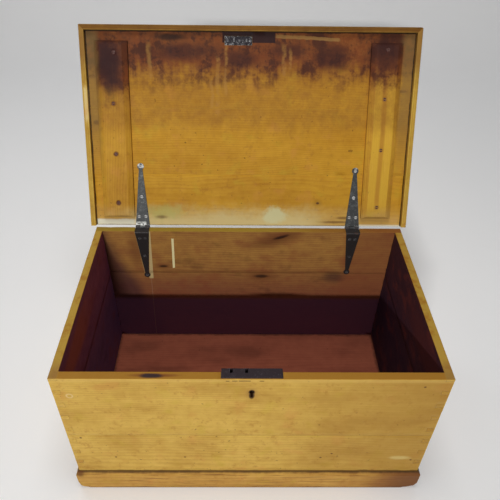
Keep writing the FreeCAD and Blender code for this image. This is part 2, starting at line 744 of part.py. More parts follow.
def batten_plank(name, width):
    """A batten lying face down, its front end at -Y: splayed steeply at the sides and short at the ends."""
    body = new_body(f"{name}_plank")
    half = width / 2
    section = [(-half, 0), (half, 0), (half, -batten_edge), (half - batten_splay, -batten_thick),
               (batten_splay - half, -batten_thick), (-half, -batten_edge)]
    pad(body, outline(body, "XZ_Plane", f"{name}_section", section), batten_length)
    for end, y, inward in (("rear", batten_length * 0, -1), ("front", -batten_length, 1)):
        corner = [(y, -batten_edge), (y, -batten_thick), (y + batten_end_splay * inward, -batten_thick)]
        pocket(body, outline(body, "YZ_Plane", f"{name}_{end}_splay", corner, half), width)
    return body


for side, (x, width, spots) in BATTENS.items():
    name = f"lid_batten_{side}"
    batten = batten_plank(name, width)
    lid_node(name, carve(name, place(batten, x, -batten_rear, lid_under), [batten_screws]))

link_y = staple_y - hinge_y                    # middle of the link plate, from the hinge axis
half_link = link_plate_width / 2
link_plate_blank = box("link_plate_blank",
                       (link_centre - half_link, link_y - link_plate_depth / 2, lid_under),
                       (link_centre + half_link, link_y + link_plate_depth / 2, lid_under + link_plate_thick))
LINK_SCREWS = (-30, 33)                        # from the link plate's middle
eye_half_width, eye_crown, eye_foot = 2.3, 2.5, 0.2
staples = []
for number, x in enumerate(STAPLES, 1):
    bar = box(f"staple_{number}_bar",
              (x - staple_thick / 2, link_y - staple_width / 2, lid_under - staple_reach),
              (x + staple_thick / 2, link_y + staple_width / 2, lid_under + link_plate_thick))
    eye = box(f"staple_{number}_eye",
              (x - staple_thick, link_y - eye_half_width, lid_under - staple_reach + eye_crown),
              (x + staple_thick, link_y + eye_half_width, lid_under - eye_foot))
    staples.append(carve(f"staple_{number}", bar, [eye]))
link_staples = group("staples", staples)
link_screws = copies("link_screw", link_screw,
                     [((link_centre + dx, link_y, lid_under), "z") for dx in LINK_SCREWS])
lid_node("link_staples", link_staples)
lid_node("link_plate_screws", link_screws)
lid_node("link_plate", carve("link_plate", link_plate_blank, [link_staples, link_screws]))

lip_height = lip_drop + lid_thick
lip_profile = rectangle(-lip_thick, 0, 0, lip_height)
lip_end_length = box_depth + lip_clear + lip_thick
lips = {
    "front": (2 * (lid_half_width + lip_thick), True, True, -lid_half_width - lip_thick, lid_front, None),
    "left": (lip_end_length, False, True, -lid_half_width, -axis_behind, LEFT_RUN),
    "right": (lip_end_length, True, False, lid_half_width, lid_front - lip_thick, RIGHT_RUN),
}
for name, (length, mitre_start, mitre_end, x, y, run) in lips.items():
    label = f"lid_lip_{name}"
    lip = moulding(f"{label}_moulding", lip_profile, lip_thick, length, mitre_start, mitre_end, lip_round)
    lid_node(label, carve(label, place(lip, x, y, lid_under - lip_drop, run), [lip_nails]))

LID_BOARDS = {
    "front": (lid_front, -lid_seam_front, [link_plate_blank, link_screws, lip_nails, batten_screws]),
    "middle": (-lid_seam_front, -lid_seam_rear, [lip_nails, batten_screws, lid_strap_screws]),
    "rear": (-lid_seam_rear, -axis_behind, [lip_nails, batten_screws, lid_strap_screws]),
}
for name, (y0, y1, tools) in LID_BOARDS.items():
    label = f"lid_board_{name}"
    plank = box(f"{label}_blank", (-lid_half_width, y0, lid_under), (lid_half_width, y1, lid_top))
    lid_node(label, carve(label, plank, tools))


# ---------------------------------------------------------------- check and write

doc.recompute()
failed = [obj.Name for obj in doc.Objects if {"Invalid", "Error"} & set(obj.State)]
for piece in nodes:
    if piece.Shape.isNull() or not piece.Shape.isValid() or not piece.Shape.Solids:
        failed.append(piece.Label)
if failed:
    raise RuntimeError(f"failed objects: {failed}")
os.makedirs("parts", exist_ok=True)
for piece in nodes:
    piece.Shape.exportStep(f"parts/{piece.Label}.step")
print(f"{len(nodes)} nodes, {sum(len(piece.Shape.Solids) for piece in nodes)} solids")
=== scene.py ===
import json
import math
from dataclasses import dataclass

import bmesh
import bpy
from mathutils import Matrix, Vector, noise


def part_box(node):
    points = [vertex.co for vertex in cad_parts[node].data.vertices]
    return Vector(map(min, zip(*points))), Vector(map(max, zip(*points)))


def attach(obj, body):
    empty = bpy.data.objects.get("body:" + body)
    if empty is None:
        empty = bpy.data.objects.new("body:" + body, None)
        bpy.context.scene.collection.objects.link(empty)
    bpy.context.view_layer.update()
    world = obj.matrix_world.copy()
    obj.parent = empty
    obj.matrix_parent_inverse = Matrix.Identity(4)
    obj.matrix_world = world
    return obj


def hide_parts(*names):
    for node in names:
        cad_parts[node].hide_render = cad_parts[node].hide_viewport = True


# The looks of the pine blanket box: worn and stained pine, old black iron, studio light and camera.
# Everything is in metres. The carcass is worked on in the frame of the CAD model. The lid is worked on
# shut, measured from the hinge axis: X to the right, Y towards the back, so the front edge is at about
# -0.56, and Z up, so the underside is at +0.003.

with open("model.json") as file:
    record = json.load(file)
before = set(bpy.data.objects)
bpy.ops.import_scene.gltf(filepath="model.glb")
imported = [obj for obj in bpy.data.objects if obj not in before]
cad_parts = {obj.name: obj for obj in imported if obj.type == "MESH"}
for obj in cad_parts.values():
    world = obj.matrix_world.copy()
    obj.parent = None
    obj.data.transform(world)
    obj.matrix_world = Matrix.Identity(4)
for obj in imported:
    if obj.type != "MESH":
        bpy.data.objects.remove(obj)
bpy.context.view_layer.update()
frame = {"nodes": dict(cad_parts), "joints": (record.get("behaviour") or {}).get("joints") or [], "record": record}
NODES = frame["nodes"]
RECORD = frame["record"]
JOINTS = {joint["name"]: joint for joint in frame["joints"]}
BODIES = {label: body for body, members in RECORD["behaviour"]["bodies"].items() for label in members}

# -------- places, read from the frame

MM = 0.001
WELD = 0.002 * MM                      # corners of a CAD mesh this near each other are one
X, Y, Z = 0, 1, 2
HINGE = Vector(JOINTS["lid_hinge"]["pos_m"])
LID_OPEN = math.radians(JOINTS["lid_hinge"]["range_deg"][1])
SHUT = Matrix.Rotation(LID_OPEN, 4, "X") @ Matrix.Translation(-HINGE)     # from the frame to the shut lid
STAYS = Matrix.Identity(4)


def welded(label, space):
    """A CAD node's mesh in the carcass's or the shut lid's space, with its corners joined."""
    bm = bmesh.new()
    bm.from_mesh(NODES[label].data)
    bm.transform(space)
    bmesh.ops.remove_doubles(bm, verts=bm.verts, dist=WELD)
    return bm


def islands(label, space):
    """The centre of every separate fastener in a CAD node."""
    bm = welded(label, space)
    waiting = set(bm.verts)
    centres = []
    while waiting:
        found = [waiting.pop()]
        for vertex in found:
            near = {edge.other_vert(vertex) for edge in vertex.link_edges} & waiting
            waiting -= near
            found.extend(near)
        centres.append(sum((vertex.co for vertex in found), Vector()) / len(found))
    bm.free()
    return sorted((tuple(centre) for centre in centres))


def box_in(label, space):
    """The lowest and highest corners of a CAD node in the carcass's or the shut lid's space."""
    points = [space @ vertex.co for vertex in NODES[label].data.vertices]
    return [Vector(extreme(point[axis] for point in points) for axis in (X, Y, Z)) for extreme in (min, max)]


front_low, front_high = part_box("front_board_upper")
back_low, back_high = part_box("back_board_upper")
plinth_low, plinth_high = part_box("plinth_front")
rear_board_low, rear_board_high = box_in("lid_board_rear", SHUT)
HALF_WIDTH = front_high.x
FRONT = front_low.y
BACK = back_high.y
RIM = front_high.z
BOARD = back_high.y - back_low.y
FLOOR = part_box("bottom_board_front")[1].z
PLINTH_TOP = plinth_high.z
INNER_X = HALF_WIDTH - BOARD
INNER_Y = BACK - BOARD
LID_UNDER = rear_board_low.z
LID_TOP = rear_board_high.z
LID_REAR = rear_board_high.y
LID_FRONT = box_in("lid_board_front", SHUT)[0].y
LID_HALF = rear_board_high.x


# -------- mesh work

TOUCH = 0.02 * MM                     # within this, a point lies on a plane
SLICE = 14 * MM                       # size of the patches that a flat face is cut into
SHORT = 4 * MM                        # sharp edges shorter than this stay as they are
ROUND_REACH = 2.2                     # how far wear reaches from an arris, in radii


class Arris:
    """A straight exposed edge where two planes meet, and how far it is worn round.

    A plane is (axis, place, side), with side 1 if the wood lies above it and -1 if below.
    """

    def __init__(self, first, second, radius, low=-1.0, high=1.0):
        self.planes = (first, second)
        self.radius = radius
        self.run = 3 - first[0] - second[0]
        self.low = low
        self.high = high

    def holds(self, edge):
        return all(abs(vertex.co[axis] - place) < TOUCH
                   for vertex in edge.verts for axis, place, side in self.planes)

    def wear(self, point):
        """Pull a point of the sharp edge onto the worn one."""
        if not self.low <= point[self.run] <= self.high:
            return
        reach = ROUND_REACH * self.radius
        depths = [(point[axis] - place) * side for axis, place, side in self.planes]
        if max(depths) > reach or min(depths) < -TOUCH:
            return
        nick = max(0.0, noise.noise(point * 75) - 0.25) * 2.2
        radius = self.radius * min(2.2, 0.75 + 0.35 * noise.noise(point * 24) + nick)
        outside = [radius - depth for depth in depths]
        if min(outside) <= 0:
            return
        shrink = radius / math.hypot(*outside)
        if shrink < 1:
            for (axis, place, side), away in zip(self.planes, outside):
                point[axis] = place + side * (radius - away * shrink)

    def slices(self):
        """Where the mesh has to be cut for the round to show."""
        for axis, place, side in self.planes:
            for share in (0.12, 0.4, 0.85, 1.5, ROUND_REACH):
                yield axis, place + side * share * self.radius


@dataclass
class Crack:
    """A drying crack along the grain of a flat face, which is a plane as for an arris."""

    run: int                          # the axis that it runs along
    across: int                       # the axis that its place is on
    place: float
    start: float
    end: float
    face: tuple
    depth: float = 0.9 * MM
    half: float = 0.6 * MM

    def slices(self):
        for shift in (-1, 0, 1):
            yield self.across, self.place + shift * self.half
        for share in (0, 0.15, 0.3, 0.45, 0.6, 0.75, 0.9, 1):
            yield self.run, self.start + (self.end - self.start) * share

    def wear(self, point):
        axis, place, side = self.face
        if (abs(point[self.across] - self.place) < TOUCH and abs(point[axis] - place) < TOUCH
                and self.start + TOUCH < point[self.run] < self.end - TOUCH):
            point[axis] += side * self.depth * (0.6 + 0.4 * noise.noise(point * 90))


@dataclass
class Corner:
    """A corner knocked off by a slanting plane, size away from the corner along each axis."""

    corner: tuple
    sides: tuple
    size: tuple

    def slices(self):
        for axis in (X, Y, Z):
            for share in (0.25, 0.5, 0.75, 1.0):
                yield axis, self.corner[axis] + self.sides[axis] * self.size[axis] * share

    def wear(self, point):
        depths = [(point[axis] - self.corner[axis]) * self.sides[axis] / self.size[axis]
                  for axis in (X, Y, Z)]
        ragged = 1 + 0.12 * noise.noise(point * 120)
        short = ragged - sum(depths)
        if min(depths) > -0.01 and short > 0:
            pull = [1 / size for size in self.size]
            length = sum(value * value for value in pull)
            for axis in (X, Y, Z):
                point[axis] += self.sides[axis] * pull[axis] / length * short


def sharp_edges(bm, shortest=SHORT):
    return [edge for edge in bm.edges if edge.calc_length() > shortest
            and len(edge.link_faces) == 2 and edge.calc_face_angle(0) > math.radians(25)]


def editable(label, space):
    """A CAD node's welded mesh, its triangles merged into flat faces."""
    bm = welded(label, space)
    bmesh.ops.dissolve_limit(bm, angle_limit=math.radians(0.4), verts=bm.verts, edges=bm.edges)
    bm.faces.layers.float.new("edge")
    return bm


def soften(bm, edges, width, segments=1, mark=1.0):
    """Bevel some edges, and mark the new faces for the material."""
    layer = bm.faces.layers.float["edge"]
    made = bmesh.ops.bevel(bm, geom=edges, offset=width, segments=segments, profile=0.5,
                           affect="EDGES", clamp_overlap=True)
    for face in made["faces"]:
        face[layer] = mark


def cut_up(bm, places, spacing):
    """Cut the mesh across each axis at the given places, and at a regular spacing."""
    cuts = {axis: set() for axis in (X, Y, Z)}
    for axis, place in places:
        cuts[axis].add(round(place, 6))
    for axis in (X, Y, Z):
        low = min(vertex.co[axis] for vertex in bm.verts)
        high = max(vertex.co[axis] for vertex in bm.verts)
        count = int((high - low) / spacing)
        cuts[axis] |= {round(low + (high - low) * k / (count + 1), 6) for k in range(1, count + 1)}
        normal = Vector(float(axis == other) for other in (X, Y, Z))
        for place in sorted(cuts[axis]):
            if low + TOUCH < place < high - TOUCH:
                bmesh.ops.bisect_plane(bm, geom=[*bm.verts, *bm.edges, *bm.faces], dist=1e-7,
                                       plane_co=normal * place, plane_no=normal)


def wave(bm, depth, scale):
    """Push the surface in here and there, as a plane or a hammer leaves it."""
    bm.normal_update()
    moves = [(vertex, vertex.normal * depth * (0.5 + 0.5 * noise.noise(vertex.co * scale)))
             for vertex in bm.verts]
    for vertex, move in moves:
        vertex.co -= move


def knock_about(bm, wears, depth, scale):
    """Wear arrises, cracks and corners into a mesh that is cut fine enough to show them, then wave it."""
    cut_up(bm, [cut for wear in wears for cut in wear.slices()], SLICE)
    for vertex in bm.verts:
        for wear in wears:
            wear.wear(vertex.co)
    wave(bm, depth, scale)


def add_object(name, data):
    obj = bpy.data.objects.new(name, data)
    bpy.context.scene.collection.objects.link(obj)
    return obj


def stand_in(bm, label, space, material, crease=30):
    """Finish an edited copy, and let it stand for its CAD node."""
    bmesh.ops.triangulate(bm, faces=[face for face in bm.faces if len(face.verts) > 4])
    bm.transform(space.inverted())
    mesh = bpy.data.meshes.new(f"{label}_worn")
    bm.to_mesh(mesh)
    bm.free()
    mesh.polygons.foreach_set("use_smooth", [True] * len(mesh.polygons))
    mesh.set_sharp_from_angle(angle=math.radians(crease))
    mesh.materials.append(material)
    obj = add_object(f"{label}_worn", mesh)
    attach(obj, BODIES[label])
    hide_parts(label)


# -------- material building

class Signal:
    """A value on its way through a material. Arithmetic on it adds Math nodes."""

    def __init__(self, tree, socket):
        self.tree = tree
        self.socket = socket

    def __neg__(self):
        return self.tree.math("MULTIPLY", self, -1.0)

    def __abs__(self):
        return self.tree.math("ABSOLUTE", self)


def teach(sign, operation):
    """Let signals stand on either side of a sign of arithmetic."""
    setattr(Signal, f"__{sign}__", lambda self, other: self.tree.math(operation, self, other))
    setattr(Signal, f"__r{sign}__", lambda self, other: self.tree.math(operation, other, self))


for sign, operation in (("add", "ADD"), ("sub", "SUBTRACT"), ("mul", "MULTIPLY"), ("truediv", "DIVIDE")):
    teach(sign, operation)


class Tree:
    """A material, and short calls that add its nodes."""

    def __init__(self, name, shine=0.5):
        self.material = bpy.data.materials.new(name)
        self.material.use_nodes = True
        self.nodes, self.links = self.material.node_tree.nodes, self.material.node_tree.links
        self.nodes.clear()
        self.shader = self.nodes.new("ShaderNodeBsdfPrincipled")
        output = self.nodes.new("ShaderNodeOutputMaterial")
        self.links.new(self.shader.outputs["BSDF"], output.inputs["Surface"])
        self.shader.inputs["Specular IOR Level"].default_value = shine

    def feed(self, socket, value):
        if isinstance(value, Signal):
            self.links.new(value.socket, socket)
        else:
            socket.default_value = value

    def math(self, operation, *values, clamp=False):
        node = self.nodes.new("ShaderNodeMath")
        node.operation = operation
        node.use_clamp = clamp
        for socket, value in zip(node.inputs, values):
            self.feed(socket, value)
        return Signal(self, node.outputs[0])

    def low(self, *values):
        return self.math("MINIMUM", *values)

    def high(self, *values):
        return self.math("MAXIMUM", *values)

    def place(self, space):
        """The surface point in the carcass's or the shut lid's space, as three signals."""
        point = self.nodes.new("ShaderNodeTexCoord").outputs["Object"]
        if space is SHUT:
            moved = self.nodes.new("ShaderNodeVectorMath")
            moved.operation = "SUBTRACT"
            self.links.new(point, moved.inputs[0])
            moved.inputs[1].default_value = HINGE
            turned = self.nodes.new("ShaderNodeVectorRotate")
            turned.rotation_type = "X_AXIS"
            turned.inputs["Angle"].default_value = LID_OPEN
            self.links.new(moved.outputs[0], turned.inputs["Vector"])
            point = turned.outputs[0]
        split = self.nodes.new("ShaderNodeSeparateXYZ")
        self.links.new(point, split.inputs[0])
        return [Signal(self, socket) for socket in split.outputs]

    def face_mark(self):
        """The value that soften() left on the faces."""
        node = self.nodes.new("ShaderNodeAttribute")
        node.attribute_name = "edge"
        return Signal(self, node.outputs["Fac"])

    def noise(self, point, stretch, detail=3.0, rough=0.55, shift=0.0):
        """Noise whose grains number stretch to the metre along each axis. It goes from 0 to 1."""
        joined = self.nodes.new("ShaderNodeCombineXYZ")
        for socket, value, per_metre in zip(joined.inputs, point, stretch):
            self.feed(socket, value * per_metre + shift)
        node = self.nodes.new("ShaderNodeTexNoise")
        self.links.new(joined.outputs[0], node.inputs["Vector"])
        node.inputs["Scale"].default_value = 1.0
        node.inputs["Detail"].default_value = detail
        node.inputs["Roughness"].default_value = rough
        return Signal(self, node.outputs["Fac"])

    def step(self, value, start, end, low=0.0, high=1.0):
        """A smooth step from low, at start, to high, at end."""
        node = self.nodes.new("ShaderNodeMapRange")
        node.interpolation_type = "SMOOTHSTEP"
        if start > end:
            start, end, low, high = end, start, high, low
        for socket, given in zip(node.inputs, (value, start, end, low, high)):
            self.feed(socket, given)
        return Signal(self, node.outputs[0])

    def band(self, value, start, end, soft):
        """1 from start to end, fading to 0 over soft outside them."""
        return self.step(value, start - soft, start) * self.step(value, end + soft, end)

    def spot(self, across, along, centre, size, soft=0.3, ragged=None):
        """1 in an ellipse and 0 outside it. Its rim is moved in and out by ragged, a signal about 0."""
        a = (across - centre[0]) / size[0]
        b = (along - centre[1]) / size[1]
        distance = self.math("SQRT", a * a + b * b)
        if ragged:
            distance = distance + ragged
        return self.step(distance, 1 + soft, 1 - soft)

    def mix(self, below, above, amount):
        node = self.nodes.new("ShaderNodeMix")
        node.data_type = "RGBA"
        self.feed(node.inputs[0], amount)
        for index, value in ((6, below), (7, above)):
            self.feed(node.inputs[index], value if isinstance(value, Signal) else (*value, 1.0))
        return Signal(self, node.outputs[2])

    def connect(self, colour, roughness, height=None, relief=0.2 * MM, metallic=0.0):
        self.feed(self.shader.inputs["Base Color"], colour)
        self.feed(self.shader.inputs["Roughness"], roughness)
        self.feed(self.shader.inputs["Metallic"], metallic)
        if height is not None:
            bump = self.nodes.new("ShaderNodeBump")
            bump.inputs["Strength"].default_value = 0.8
            bump.inputs["Distance"].default_value = relief
            self.feed(bump.inputs["Height"], height)
            self.links.new(bump.outputs[0], self.shader.inputs["Normal"])
        return self.material


# -------- pine

# Light and dark wood of each kind of surface, as linear colours
HONEY = ((0.66, 0.428, 0.092), (0.47, 0.262, 0.045))
AMBER = ((0.6, 0.312, 0.025), (0.435, 0.196, 0.015))
BATTEN = ((0.58, 0.305, 0.033), (0.41, 0.188, 0.019))
SIDE_LIP = ((0.56, 0.35, 0.055), (0.39, 0.21, 0.028))
FRONT_LIP = ((0.215, 0.095, 0.013), (0.11, 0.042, 0.009))
PLINTH = ((0.6, 0.345, 0.075), (0.42, 0.205, 0.04))
BACK_INSIDE = ((0.48, 0.245, 0.058), (0.27, 0.105, 0.036))
# The left and right walls' inside tones are painted shade: purplish on the left like its shade, and dark on the
# right where the key light reaches it.
LEFT_INSIDE = ((0.3, 0.09, 0.14), (0.17, 0.045, 0.095))
RIGHT_INSIDE = ((0.072, 0.024, 0.032), (0.036, 0.014, 0.024))
FLOOR_RED = ((0.46, 0.132, 0.072), (0.32, 0.082, 0.048))
RAW = ((0.44, 0.29, 0.115), (0.27, 0.16, 0.06))

# What has happened to pine anywhere
BARE = (0.68, 0.46, 0.09)
DIRT = (0.022, 0.011, 0.008)
KNOT = (0.075, 0.022, 0.01)
RUSTED = (0.11, 0.026, 0.012)
WARM = (0.58, 0.24, 0.06)
GREENISH = (0.5, 0.36, 0.03)
SPECKLE = (0.34, 0.135, 0.02)

WOOD_SHINE = 0.1
KNOTS = {                              # the middle, along and across the grain, and half sizes
    "back_board_lower": (((0.042, 0.299), 0.022, 0.0045),),
    "back_board_upper": (((-0.267, 0.34), 0.011, 0.0035),),
    "left_board_upper": (((0.06, 0.4), 0.014, 0.01),),
    "right_board_lower": (((-0.11, 0.19), 0.016, 0.011), ((0.16, 0.235), 0.009, 0.007)),
    "lid_board_front": (((-0.446, -0.434), 0.01, 0.0045), ((0.433, -0.4), 0.012, 0.003)),
    "lid_board_middle": (((-0.44, -0.307), 0.009, 0.0055),),
    "lid_board_rear": (((0.205, -0.075), 0.004, 0.003),),
}
# The axes along the grain, across it and through the board
ALONG_X = (X, Y, Z)
ALONG_X_UPRIGHT = (X, Z, Y)
ALONG_Y = (Y, X, Z)
ALONG_Y_UPRIGHT = (Y, Z, X)


class Pine(Tree):
    """A pine board's material as it is being built: its colour, roughness and height so far."""

    def __init__(self, label, space, axes, seed, tone):
        super().__init__(f"pine_{label}", WOOD_SHINE)
        self.point = self.place(space)
        self.seed = seed
        along, across, depth = (self.point[axis] for axis in axes)
        run = (along, across, depth)
        shift = seed * 1.37
        wander = self.noise(run, (0.9, 3, 3), detail=2, shift=shift)
        swell = self.noise(run, (3.1, 9, 9), detail=2, shift=shift)
        self.cloud = self.noise(run, (5, 11, 11), shift=shift + 3)
        self.blotch = self.noise(self.point, (34, 34, 34), detail=4, rough=0.65, shift=shift)
        self.drift = self.cloud - 0.5                 # this and jitter move the rims of stains
        self.jitter = self.blotch - 0.5
        self.fibre = self.noise(run, (7, 330, 330), rough=0.6, shift=shift)
        from_heart = across + (0.1 * math.sin(seed * 1.7) + (wander - 0.5) * 0.1)
        under_heart = depth + (0.055 + 0.03 * math.sin(seed * 2.1) + (swell - 0.5) * 0.022)
        radius = self.math("SQRT", from_heart * from_heart + under_heart * under_heart)
        dark = 0.0
        knots = KNOTS.get(label, ())
        for centre, length, width in knots:
            core = self.spot(along, across, centre, (length, width), 0.5, self.jitter * 0.9)
            halo = self.spot(along, across, centre, (length * 3.0, width * 3.0), 0.9)
            radius = radius + halo * (width * 1.6)
            dark = core + halo * 0.3 + dark
        ring = self.math("FRACT", radius * 150 + (swell - 0.5) * 1.2)
        self.late = self.step(ring, 0.25, 0.9) - self.step(ring, 0.92, 1.0)
        grain = (self.late * 0.26 + (self.fibre - 0.5) * 0.8 + self.drift * 1.3 + self.jitter * 1.1 + 0.3)
        self.grain = self.math("ADD", grain, 0.0, clamp=True)
        self.colour = self.mix(*tone, self.grain)
        self.rough = 0.56 + self.jitter * 0.25
        self.height = self.fibre * 0.5 - self.late * 0.35
        if knots:
            dark = self.math("ADD", dark, 0.0, clamp=True)
            self.stain(dark, KNOT, 0.9)
            self.height = self.height + dark * 0.8
        self.dents()

    def stain(self, mask, colour, strength=1.0):
        self.colour = self.mix(self.colour, colour, mask * strength)

    def dents(self):
        """Little bruises and the odd worm hole, scattered over the board."""
        pits = self.noise(self.point, (95, 95, 95), detail=1, shift=self.seed * 3.3)
        pit = self.step(pits, 0.735, 0.79)
        self.stain(pit, DIRT, 0.55)
        self.height = self.height - pit * 1.5

    def worn_arris(self, low, high, strength=0.6, reach=3.5 * MM):
        """Rub the wood bare along the edges of an outline, which are where two of its faces are near."""
        a, b, c = (self.low(abs(value - lowest), abs(value - highest))
                   for value, lowest, highest in zip(self.point, low, high))
        second = self.high(self.low(a, b), self.low(self.high(a, b), c))
        rubbed = self.step(second + self.jitter * (1.8 * reach), reach, 0.2 * reach)
        self.stain(rubbed, BARE, strength)
        self.rough = self.rough + rubbed * 0.12

    def tint(self):
        """Warmer and greener clouds over the whole board."""
        red = self.noise(self.point, (17, 17, 17), detail=3, shift=self.seed * 2.9 + 1)
        self.stain(self.step(red, 0.56, 0.72), WARM, 0.3)
        self.stain(self.step(red, 0.44, 0.28), GREENISH, 0.3)
        speck = self.noise(self.point, (52, 52, 52), detail=4, rough=0.7, shift=self.seed * 1.9 + 6)
        self.stain(self.step(speck, 0.54, 0.7), SPECKLE, 0.38)

    def finish(self, gap=DIRT, strength=0.85):
        """Fill the joints, which are the faces that soften() marked, with dirt or pale glue."""
        self.stain(self.face_mark(), gap, strength)
        return self.connect(self.colour, self.rough, self.height, 0.18 * MM)


# -------- carcass pine

RIM_WOOD = (0.34, 0.15, 0.014)
SIDE_RIM_WOOD = (0.44, 0.27, 0.04)
BACK_RIM_WOOD = (0.3, 0.19, 0.02)
BACK_RIM_RED = (0.24, 0.075, 0.018)
RIM_CORNERS = (0.27, 0.135, 0.04)
BROWNED = (0.345, 0.175, 0.028)
PALE_BAND = (0.76, 0.52, 0.15)
GRIME_AND_SHADE = (0.14, 0.055, 0.016)
DUST = (0.2, 0.115, 0.045)
OLD_RED = (0.23, 0.045, 0.026)
# The inside walls' tones low down, darker towards the floor: painted shade.
DEEP_BACK = (0.19, 0.052, 0.034)
DEEP_LEFT = (0.12, 0.062, 0.15)
DEEP_RIGHT = (0.032, 0.017, 0.038)


def carcass_pine(label, axes, seed):
    """A carcass board: honey outside, old dark red inside with painted shade on the side walls and towards the
    floor, worn bare at the arrises.
    """
    upper, lower, mark = WALLS[label.split("_")[0]]
    wood = Pine(label, STAYS, axes, seed, HONEY)
    x, y, z = wood.point
    wood.tint()
    browner = wood.step(x, 0.02, 0.42) * 0.75 + wood.step(wood.cloud, 0.5, 0.7) * 0.25
    wood.stain(browner, BROWNED, 0.8)
    under_rim = wood.step(z + wood.jitter * 0.006, RIM - 16 * MM, RIM - 9 * MM)
    wood.stain(under_rim, PALE_BAND, 0.28)
    wood.worn_arris((-HALF_WIDTH, FRONT, 0), (HALF_WIDTH, BACK, RIM), strength=0.5)
    top = wood.step(z, RIM - 1.2 * MM, RIM - 0.4 * MM)
    side_rim = wood.step(abs(x), INNER_X - 3 * MM, INNER_X + 3 * MM)
    rim = wood.mix(RIM_WOOD, SIDE_RIM_WOOD, side_rim * wood.step(wood.blotch, 0.3, 0.55))
    front_end = wood.step(y + wood.jitter * 0.04, FRONT + 0.07, FRONT + 0.01) * side_rim
    rim = wood.mix(rim, RIM_CORNERS, front_end * 0.7)
    back_rim = wood.mix(BACK_RIM_WOOD, BACK_RIM_RED, wood.step(x + wood.drift * 0.3, 0.05, 0.4))
    rim = wood.mix(rim, back_rim, wood.step(y, INNER_Y - 2 * MM, INNER_Y + 1 * MM))
    wood.stain(top, rim, 0.88)
    # Grime and painted shade along the wall just above the plinth.
    grime_and_shade = wood.step(z + wood.jitter * 0.014, PLINTH_TOP + 6 * MM, PLINTH_TOP + 0.5 * MM)
    wood.stain(grime_and_shade * wood.step(y, BACK - 2 * MM, BACK - 4 * MM), GRIME_AND_SHADE, 0.7)
    wood.stain(wood.step(z + wood.jitter * 0.05, 0.05, 0.004), DUST, 0.5)
    inside = wood.step(wood.low(INNER_X - abs(x), INNER_Y - abs(y)), -0.7 * MM, -0.2 * MM)
    inside = inside * (1 - top)
    # Painted shade: the inside darkens towards the floor.
    deep = wood.step(z + wood.drift * 0.15, 0.4, 0.2)
    wood.stain(inside, wood.mix(wood.mix(*upper, wood.grain), lower, deep * 0.8))
    reddish = wood.noise(wood.point, (13, 13, 19), detail=4, shift=seed + 5.0)
    wood.stain(wood.step(reddish, 0.5, 0.68) * inside, OLD_RED, 0.32)
    wood.stain(wood.step(reddish, 0.42, 0.28) * inside, DIRT, 0.25)
    wood.rough = wood.rough + inside * 0.12
    mark(wood, inside)
    return wood.finish(strength=0.45)


# The long knot high on the back wall, and the smaller ones: middle and half sizes
LONG_KNOT = ((0.097, 0.426), (0.021, 0.0055))
LONG_KNOT_HALO = ((0.088, 0.423), (0.062, 0.021))
SMALL_KNOTS = (((0.042, 0.299), (0.022, 0.0065)), ((-0.267, 0.34), (0.013, 0.004)))
LONG_KNOT_RED = (0.13, 0.038, 0.016)
SMALL_KNOT_RED = (0.15, 0.045, 0.018)
BOARD_RED = (0.24, 0.072, 0.032)
WALL_DAMP = (0.045, 0.02, 0.022)
CORNER_SHADOW_PAINT = (0.07, 0.026, 0.026)
SHADED = (0.185, 0.078, 0.155)
BRIGHT_STREAK = (0.92, 0.84, 0.46)
STRAP_GHOST = (0.66, 0.53, 0.26)
SMEAR = (0.17, 0.055, 0.022)
THREAD = (0.42, 0.26, 0.17)


